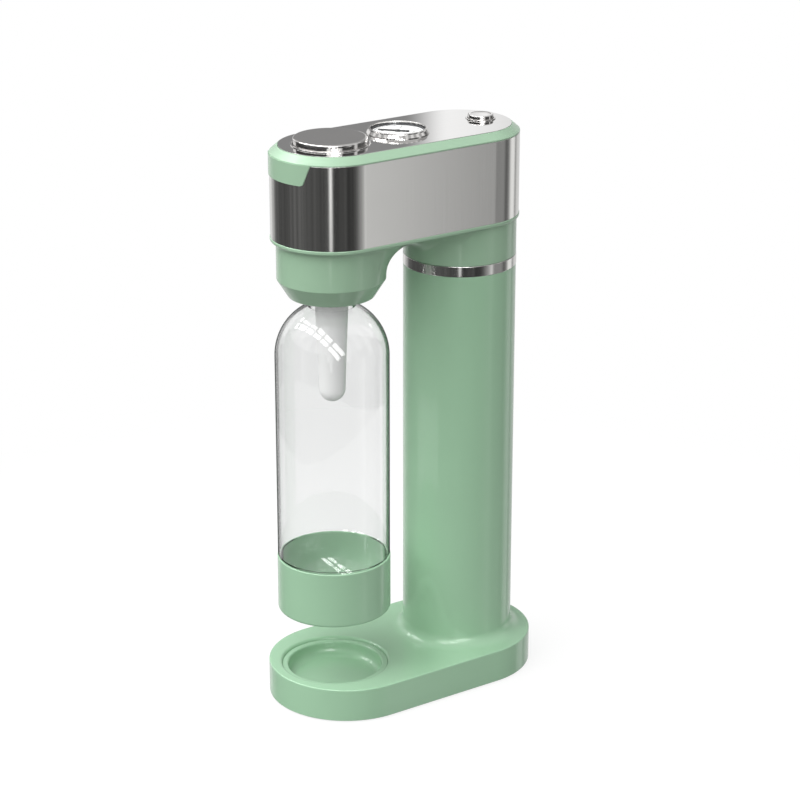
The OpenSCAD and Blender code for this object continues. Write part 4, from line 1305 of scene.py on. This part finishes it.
@dataclass
class Gauge:
    """Pressure gauge: bezel, dial with numbers, needle and lens."""

    y: float = GAUGE_Y
    dial_top: float = 436.6
    rest_turn: float = 222.0
    number_r: float = 11.3
    number_size: float = 3.4
    first_number: float = 225.0
    number_step: float = 90.0

    def build(self) -> None:
        """Build and dress the gauge's pieces."""
        outline = [
            (21.3, 436.12), (23.3, 436.12), (23.3, 436.6, 0.2), (21.9, 438.9, 0.5),
            (21.7, 439.7, 0.25), (20.1, 439.7, 0.3), (20.1, 438.95), (21.3, 438.95),
        ]
        bezel = Piece.turned("gauge_ring", outline, self.y, True)
        bezel.dress(CHROME, "chrome_trim", Body.FRAME, "gauge_bezel")
        face = [
            (1.2, 436.0), (19.95, 436.0), (19.95, 437.85, 0.1), (19.4, 437.85, 0.1),
            (19.4, 436.6), (1.2, 436.6, 0.1),
        ]
        dial = Piece.turned("gauge_face", face, self.y, True)
        dial.dress(DialPrint("dial_white", self.y), "dial_white", Body.FRAME, "gauge_dial")
        self.build_numbers()
        self.build_needle()
        pane = [(0.0, 438.0), (21.2, 438.0, 0.1), (21.2, 438.9, 0.2), (0.0, 438.9)]
        lens = Piece.turned("gauge_window", pane, self.y)
        lens.dress(LENS_CLEAR, "clear_lens", Body.FRAME, "gauge_lens")

    def build_numbers(self) -> None:
        """Plain numbers at the long ticks."""
        for index, number in enumerate(("0", "5", "10", "15")):
            turn = radians(self.first_number - self.number_step * index)
            Piece.clear_bench()
            bpy.ops.object.text_add()
            text = bpy.context.object
            text.data.body = number
            text.data.size = self.number_size * MM
            text.data.align_x = "CENTER"
            text.data.align_y = "CENTER"
            text.data.extrude = 0.02 * MM
            bpy.ops.object.convert(target="MESH")
            across, along = (self.number_r * f(turn) for f in (cos, sin))
            text.location = Vector((across, self.y + along, self.dial_top + FIT)) * MM
            text.rotation_euler = (0, 0, radians(90))
            bpy.ops.object.transform_apply(location=True, rotation=True, scale=True)
            text.name = text.data.name = f"gauge_number_{number}"
            text.data.materials.clear()
            text.data.materials.append(INK.material())
            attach(text, Body.FRAME.value)
            LOG.info("%s", text.name)

    def build_needle(self) -> None:
        """Needle with a tapered tip, a short tail and a domed hub."""
        needle = Piece("gauge_pointer")
        turn = radians(self.rest_turn)
        along = Vector((cos(turn), sin(turn), 0))
        aside = Vector((-sin(turn), cos(turn), 0))
        centre = Vector((0, self.y, 0))
        shape = [(-8.5, 1.0), (-2.0, 0.8), (2.0, 0.8), (13.5, 0.45), (15.0, 0.0)]
        line = [*shape, *[(x, -w) for x, w in reversed(shape[:-1])]]
        points = [(centre + along * x + aside * w + Vector((0, 0, 436.9))) * MM for x, w in line]
        needle.trace(points)
        bpy.ops.mesh.edge_face_add()
        Piece.draw_out((0, 0, 0.8 * MM))
        hub = [
            (0.0, 428.1), (0.8, 428.1), (0.8, 437.0), (2.2, 437.0), (2.2, 437.7, 0.4),
            (0.0, 437.7),
        ]
        needle.lathe(section(hub), self.y, steps=PIN_STEPS)
        needle.finish()
        needle.dress(INK, "dark_plastic", Body.NEEDLE, "gauge_needle")


@dataclass
class Release:
    """Small release button with its ring and spring."""

    y: float = RELEASE_Y
    wire: float = 0.55

    def build(self) -> None:
        """Build and dress the release's pieces."""
        outline = [
            (0.0, 439.35), (7.2, 439.35), (7.6, 439.6, 0.25), (9.6, 439.6, 0.7), (9.6, 429.8),
            (10.3, 429.8, 0.15), (10.3, 428.6, 0.15), (8.1, 428.6), (8.1, 438.0), (3.0, 438.0),
            (3.0, 412.65, 0.4), (0.0, 412.65),
        ]
        cap = Piece.turned("release_cap", outline, self.y, steps=SMALL_STEPS)
        cap.dress(CHROME, "chrome_trim", Body.RELEASE, "release_button")
        outline = [
            (9.95, 430.15), (10.65, 430.15), (10.65, 436.12), (11.25, 436.12),
            (11.25, 436.8, 0.3), (9.95, 436.8, 0.3),
        ]
        ring = Piece.turned("release_ring", outline, self.y, True, SMALL_STEPS)
        ring.dress(CHROME, "chrome_trim", Body.FRAME, "release_collar")
        spring = Piece("release_coil")
        spring.tube(coil(self.y, 5.1, self.wire, 418.1, 438.0, 6), self.wire)
        spring.finish()
        spring.dress(PLATED, "bare_steel", Body.FRAME, "release_spring")
        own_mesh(spring.obj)


@dataclass
class Bottle:
    """Clear bottle in its foot cup, and the nozzle that hangs into it."""

    y: float = BOTTLE_Y
    shell_r: float = 42.6
    low_r: float = 41.2
    wall: float = 1.3
    dome_z: float = 275.95
    neck_r: float = 17.8
    bore_r: float = 15.6
    top: float = 346.45
    floor: float = 75.25
    boot_top: float = 116.65
    foot_round: float = 30.9
    thread_r: float = 19.7
    threads_z: Sequence[float] = (332.95, 337.45, 341.95)

    def build(self) -> None:
        """Build and dress the bottle's pieces."""
        self.build_shell()
        self.build_boot()
        self.build_nozzle()

    def shoulder(self, radius: float, neck: float) -> list[Point]:
        """Dome of a radius up to where it meets the neck."""
        last = degrees(atan2(sqrt(radius**2 - neck**2), neck))
        return arc((0.0, self.dome_z), radius, 0.0, last, 30)

    def foot(self, inset: float) -> list[Point]:
        """Rounded foot up to where the wall steps out above the cup.

        Args:
            inset: how far inside the bottle's outer face.

        Returns:
            Its (out, up) points, from the axis up.
        """
        low, step = self.low_r - inset, self.boot_top + 0.2
        bend = (low, self.floor + inset, self.foot_round - inset)
        wide = (self.shell_r - inset, self.boot_top + 1.8)
        return section([(0.0, self.floor + inset), bend, (low, step), wide])

    def build_shell(self) -> None:
        """Bottle wall as one closed skin, with thread rings at the neck."""
        shell = Piece("bottle_clear")
        wall, neck, bore, top = self.wall, self.neck_r, self.bore_r, self.top
        outer = [*self.foot(0.0), *self.shoulder(self.shell_r, neck)]
        threads: list[Corner] = [(neck, self.dome_z + 45.0)]
        for z in self.threads_z:
            crest = [(self.thread_r, z + 0.2, 0.3), (self.thread_r, z + 1.6, 0.3)]
            threads += [(neck, z - 0.5), *crest, (neck, z + 2.3)]
        threads += [(neck, top, 0.5), (bore, top, 0.5), (bore, 330.0)]
        inner = reversed([*self.foot(wall), *self.shoulder(self.shell_r - wall, bore)])
        shell.lathe([*outer, *section(threads), *inner], self.y)
        shell.finish()
        shell.dress(BOTTLE_CLEAR, "clear_bottle", Body.BOTTLE, "bottle_shell")

    def build_boot(self) -> None:
        """Green cup round the bottle's foot."""
        outline = [
            (0.0, 73.25), (43.0, 73.25, 2.5), (43.0, self.boot_top, 0.6),
            (41.4, self.boot_top, 0.5), (41.4, self.floor - 0.2, self.foot_round + 0.2),
            (0.0, self.floor - 0.2),
        ]
        boot = Piece.turned("bottle_boot", outline, self.y)
        boot.dress(SHADED_BOOT_SAGE, "sage_plastic", Body.BOTTLE, "bottle_cup")

    def build_nozzle(self) -> None:
        """White nozzle that tapers to a round tip."""
        nozzle = Piece("nozzle_tube")
        tip = arc((0.0, 249.75), 9.8, 0.0, -90.0, 14)
        inside = arc((0.0, 249.75), 8.2, -90.0, 0.0, 12)
        outer, inner = ([(r, z) for z in (358.0, 335.45)] for r in (13.0, 11.4))
        nozzle.lathe([*outer, *tip, *inside, *reversed(inner)], self.y, True, SMALL_STEPS)
        nozzle.finish()
        nozzle.dress(FROST, "frosted_plastic", Body.FRAME, "diffuser_tube")


@dataclass(frozen=True)
class Hose:
    """One hose in a plane across X, which leaves and arrives in one direction."""

    name: str
    node: str
    x: float
    radius: float
    start: Point
    end: Point
    pull: Point
    steps: int = 48

    def build(self) -> None:
        """Build and dress the hose."""
        pull = Vector(self.pull)
        lead = pull.normalized()
        first, last = Vector(self.start) + lead, Vector(self.end) - lead
        knots = (first, first + pull, last - pull, last)
        path = [Vector(self.start)]
        for k in range(self.steps + 1):
            s = k / self.steps
            weights = ((1 - s) ** 3, 3 * s * (1 - s) ** 2, 3 * s * s * (1 - s), s**3)
            path.append(sum((knot * w for knot, w in zip(knots, weights)), Vector((0, 0))))
        path.append(Vector(self.end))
        hose = Piece(self.name)
        hose.tube([Vector((self.x, p.x, p.y)) * MM for p in path], self.radius, 6)
        hose.finish()
        hose.dress(TUBING, "hose", Body.FRAME, self.node)


HOSES = (
    Hose("gas_line", "gas_hose", 0.0, 3.2, (29.0, 375.15), (-29.0, 367.8), (-22.0, 0.0)),
    Hose("gauge_line", "gauge_hose", -13.0, 2.2, (-50.0, 376.0), (GAUGE_Y, 404.1), (0.0, 24.0)),
    Hose("vent_line", "vent_hose", 17.0, 2.2, (-52.0, 376.0), (RELEASE_Y, 408.7), (0.0, 34.0)),
)


def dress_nodes() -> None:
    """Give every CAD node its slot's finish, also where a piece hides it."""
    for row in frame["record"]["subparts"]:
        node = frame["nodes"][row["node"]]
        finish = BY_SLOT.get(row["material_slot"], FROST)
        node.data.materials.clear()
        node.data.materials.append(finish.material())
        LOG.info("%s keeps its solid, as %s", row["node"], finish.name)


LOW_LEVELS = (
    (-180.0, 0.85), (-172.0, 0.75), (-164.0, 0.20), (-150.0, 0.12), (-126.0, 0.10),
    (-108.0, 0.16), (-96.0, 0.16), (-78.0, 0.13), (-60.0, 0.11), (-39.5, 0.09), (-36.6, 1.6),
    (-34.4, 1.6), (-31.0, 0.05), (-11.0, 0.10), (2.0, 0.05), (13.0, 0.10), (26.0, 0.42),
    (33.0, 0.85), (38.0, 0.27), (58.0, 0.30), (66.0, 0.10), (74.0, 0.25), (82.0, 0.95),
    (93.0, 0.95), (99.0, 0.30), (108.0, 0.70), (160.0, 0.80), (180.0, 0.85),
)
HIGH_LEVELS = (
    (-180.0, 0.90), (-166.0, 0.90), (-160.0, 0.06), (-45.0, 0.05), (-41.0, 1.20), (-32.0, 1.20),
    (-28.0, 0.05), (-8.0, 0.05), (-5.0, 1.00), (1.0, 1.00), (6.0, 0.06), (44.0, 0.08),
    (50.0, 0.80), (56.0, 0.80), (62.0, 0.10), (95.0, 0.12), (120.0, 0.75), (141.5, 0.74),
    (144.0, 1.10), (165.0, 1.10), (180.0, 0.90),
)
UPPER_LEVELS = (
    (-180.0, 0.90), (-150.0, 0.45), (60.0, 0.45), (95.0, 0.38), (180.0, 0.38),
)


@dataclass(frozen=True)
class Room:
    """Studio round the machine, which only reflections see.

    Turns are shares of a full turn from -X, heights are sines of the angle
    over the horizon, and a pair of values is where a change starts and ends.
    """

    high_from: Point = (-0.02, 0.10)
    upper_from: Point = (0.29, 0.33)
    overhead_from: Point = (0.65, 0.85)
    overhead: float = 0.6
    ripples: float = 70.0
    ripple_edge: Point = (0.35, 0.65)
    ripple_depth: float = 0.45
    ripple_end: float = 0.53
    streak_turn: float = 0.4014
    streak_half: float = 0.0135
    streak_foot: Point = (-0.31, -0.294)
    streak_shade: float = 0.08
    screen_from: Point = (0.9, 0.903)
    screen_end: float = 0.975
    screen_level: float = 0.28
    bars: float = 15.0
    bar_shift: float = 0.3
    bar_edge: Point = (0.22, 0.28)
    bar_end: float = 0.76
    bar_level: float = 0.85
    pane_level: float = 8.0
    pane_from: Point = (0.0, 0.12)
    pane_count: float = 3.0
    pane_half: float = 0.39
    row_across: Place = (0.073, 0.832, 0.551)
    row_along: Place = (0.996, -0.087, 0.0)
    row_half: float = 0.17
    row_split: float = 0.03
    row_end: float = -0.75

    def build(self, bench: NodeBench, way: Flow) -> Flow:
        """Lay out the room.

        Args:
            bench: the world's bench.
            way: the direction looked in.

        Returns:
            The room's colour in that direction.
        """
        axes = bench.node("ShaderNodeSeparateXYZ", None, {0: way}, "X")
        rise = axes.also("Z")
        turn = axes.also("Y").angle_from(axes) / tau + 0.5
        low, high = self.low(bench, turn, rise), self.high(bench, turn)
        room = bench.tint(bench.ease(rise, *self.high_from), low, high)
        room = bench.tint(bench.ease(rise, *self.upper_from), room, self.upper(bench, turn))
        room = bench.tint(bench.ease(rise, *self.overhead_from), room, grey(self.overhead))
        panes = self.panes(bench, way) * bench.ease(rise, *self.pane_from)
        return bench.tint(panes, room, grey(self.pane_level))

    @staticmethod
    def around(bench: NodeBench, turn: Flow, levels: Sequence[Point]) -> Flow:
        """Grey that changes round the room, from (azimuth in degrees, level) pairs."""
        stops = [(azimuth / 360.0 + 0.5, level) for azimuth, level in levels]
        return bench.node("ShaderNodeValToRGB", {"stops": stops}, {0: turn})

    def low(self, bench: NodeBench, turn: Flow, rise: Flow) -> Flow:
        """Lay out what lies below the horizon, with its ripple and its streak.

        Args:
            bench: the world's bench.
            turn: azimuth looked in.
            rise: height looked at.

        Returns:
            The colour there.
        """
        low = self.around(bench, turn, LOW_LEVELS)
        wave = {"W": turn * self.ripples, "Scale": 1.0, "Detail": 3.0}
        ripple = bench.node("ShaderNodeTexNoise", {"noise_dimensions": "1D"}, wave)
        ripple = self.ripple_depth * bench.ease(ripple, *self.ripple_edge)
        low = bench.tint(ripple * turn.under(self.ripple_end), low, grey(0.0))
        beside = abs(turn - self.streak_turn).under(self.streak_half)
        below = (1.0 - bench.ease(rise, *self.streak_foot)) * beside
        return bench.tint(below, low, grey(self.streak_shade))

    def high(self, bench: NodeBench, turn: Flow) -> Flow:
        """Lay out what lies just over the horizon, with its dark screen.

        Args:
            bench: the world's bench.
            turn: azimuth looked in.

        Returns:
            The colour there.
        """
        high = self.around(bench, turn, HIGH_LEVELS)
        screen = bench.ease(turn, *self.screen_from) * turn.under(self.screen_end)
        return bench.tint(screen, high, grey(self.screen_level))

    def upper(self, bench: NodeBench, turn: Flow) -> Flow:
        """Lay out what lies farther up, with its bars.

        Args:
            bench: the world's bench.
            turn: azimuth looked in.

        Returns:
            The colour there.
        """
        upper = self.around(bench, turn, UPPER_LEVELS)
        bars = abs((turn * self.bars + self.bar_shift).part() - 0.5)
        bars = bench.ease(bars, *self.bar_edge) * turn.under(self.bar_end)
        return bench.tint(bars, upper, grey(self.bar_level))

    def panes(self, bench: NodeBench, way: Flow) -> Flow:
        """Lay out a row of window panes high over the front.

        Args:
            bench: the world's bench.
            way: the direction looked in.

        Returns:
            One on a pane, else nought.
        """
        off, along = abs(bench.dot(way, self.row_across)), bench.dot(way, self.row_along)
        pane = abs((along * self.pane_count).part() - 0.5).under(self.pane_half)
        row = off.under(self.row_half) * off.over(self.row_split)
        return row * pane * along.over(self.row_end)


@dataclass(frozen=True)
class Lamp:
    """Soft round lamp, seen neither in reflections nor through the bottle."""

    name: str
    place: Place
    size: float
    power: float

    def build(self) -> None:
        """Hang the lamp and aim it at the machine."""
        Piece.clear_bench()
        spot = Vector(self.place)
        aim = (Vector((0, 0, 0.2)) - spot).to_track_quat("-Z", "Y").to_euler()
        bpy.ops.object.light_add(type="AREA", location=spot, rotation=aim)
        lamp = bpy.context.object
        lamp.name = lamp.data.name = self.name
        lamp.data.shape = "DISK"
        lamp.data.size = self.size
        lamp.data.energy = self.power
        lamp.visible_glossy = False
        lamp.visible_transmission = False


LAMPS = (
    Lamp("key", (-0.9, -1.4, 2.2), 3.0, 51.0),
    Lamp("front", (1.0, -1.5, 1.2), 2.6, 20.0),
    Lamp("top", (0.2, -0.9, 2.2), 1.6, 19.0),
    Lamp("fill", (1.3, 1.5, 1.1), 1.2, 2.5),
)


@dataclass
class Studio:
    """Pale floor, soft light, white surroundings and the camera."""

    camera_at: Place = (1.47354, -1.02687, 0.88099)
    azimuth: float = 55.15
    elevation: float = 20.0
    lens: float = 113.31
    floor_r: float = 0.62
    floor_lit: float = 0.16
    floor_fade: float = 0.3
    floor_white: float = 0.95
    floor_dull: float = 0.36
    soft_from: Point = (-0.15, 0.35)
    soft_low: float = 0.09
    soft_high: float = 0.68

    def build(self) -> None:
        """Build floor, world, lamps and camera."""
        self.build_floor()
        self.build_world()
        for lamp in LAMPS:
            lamp.build()
        self.build_camera()

    def build_floor(self) -> None:
        """Round pale floor that fades into the white around it."""
        floor = Piece("floor")
        floor.lathe([(0.0, 0.0), (200.0, 0.0), (self.floor_r / MM, 0.0)], 0.0)
        floor.finish()
        floor.clear_bench()
        pale = bpy.data.materials.new("pale_floor")
        pale.use_nodes = True
        bench = NodeBench(pale.node_tree)
        ray = bench.node("ShaderNodeLightPath", output="Is Camera Ray")
        seen = ray.peak(ray.also("Is Glossy Ray")).peak(ray.also("Is Transmission Ray"))
        place = bench.place()
        away = bench.node("ShaderNodeVectorMath", {"operation": "LENGTH"}, {0: place}, "Value")
        plain = bench.ease(away, self.floor_fade, self.floor_r * 0.98)
        plain = 1.0 - self.floor_lit * (1.0 - plain)
        white = (*grey(1.0), 1.0)
        glow = bench.node("ShaderNodeEmission", None, {"Color": white, "Strength": 1.0})
        shown = bench.mix(plain, bench.dull(grey(self.floor_white)), glow)
        mixed = bench.mix(seen, bench.dull(grey(self.floor_dull)), shown)
        bench.node("ShaderNodeOutputMaterial", None, {"Surface": mixed})
        floor.obj.data.materials.append(pale)
        floor.obj.visible_glossy = False

    def build_world(self) -> None:
        """White to the camera, soft to the surfaces, a studio to reflections."""
        world = bpy.data.worlds.new("studio")
        bpy.context.scene.world = world
        world.use_nodes = True
        bench = NodeBench(world.node_tree)
        ray = bench.node("ShaderNodeLightPath", output="Is Camera Ray")
        through = ray.also("Is Transmission Ray")
        bounced = ray.also("Glossy Depth").over(0.5)
        clear = ray.peak(through * (1.0 - bounced))
        mirrored = ray.also("Is Glossy Ray").peak(through * bounced)
        way = bench.node("ShaderNodeTexCoord", output="Generated")
        rise = bench.node("ShaderNodeSeparateXYZ", None, {0: way}, "Z")
        soft = bench.ease(rise, *self.soft_from)
        soft = bench.tint(soft, grey(self.soft_low), grey(self.soft_high))
        seen = bench.tint(mirrored, soft, Room().build(bench, way))
        shown = bench.tint(clear, seen, grey(1.0))
        back = bench.node("ShaderNodeBackground", None, {"Color": shown, "Strength": 1.0})
        bench.node("ShaderNodeOutputWorld", None, {"Surface": back})

    def build_camera(self) -> None:
        """Camera at the photograph's viewing angle."""
        turn, tilt = radians(self.azimuth), radians(self.elevation)
        back = Vector((sin(turn) * cos(tilt), -cos(turn) * cos(tilt), sin(tilt)))
        aim = (-back).to_track_quat("-Z", "Y").to_euler()
        bpy.ops.object.camera_add(location=self.camera_at, rotation=aim)
        camera = bpy.context.object
        camera.name = "camera"
        camera.data.lens = self.lens
        camera.data.sensor_width = 36.0
        camera.data.clip_start = 0.05
        bpy.context.scene.camera = camera


def main() -> None:
    """Build every part of the machine, then the studio."""
    logging.basicConfig(level=logging.INFO, format="%(name)s %(message)s")
    Piece.clear_bench()
    dress_nodes()
    for group in (Stand(), Head(), PushButton(), Gauge(), Release(), Bottle(), *HOSES):
        group.build()
    Studio().build()
    bpy.context.scene.view_settings.view_transform = "Standard"


if __name__ == "__main__":
    main()
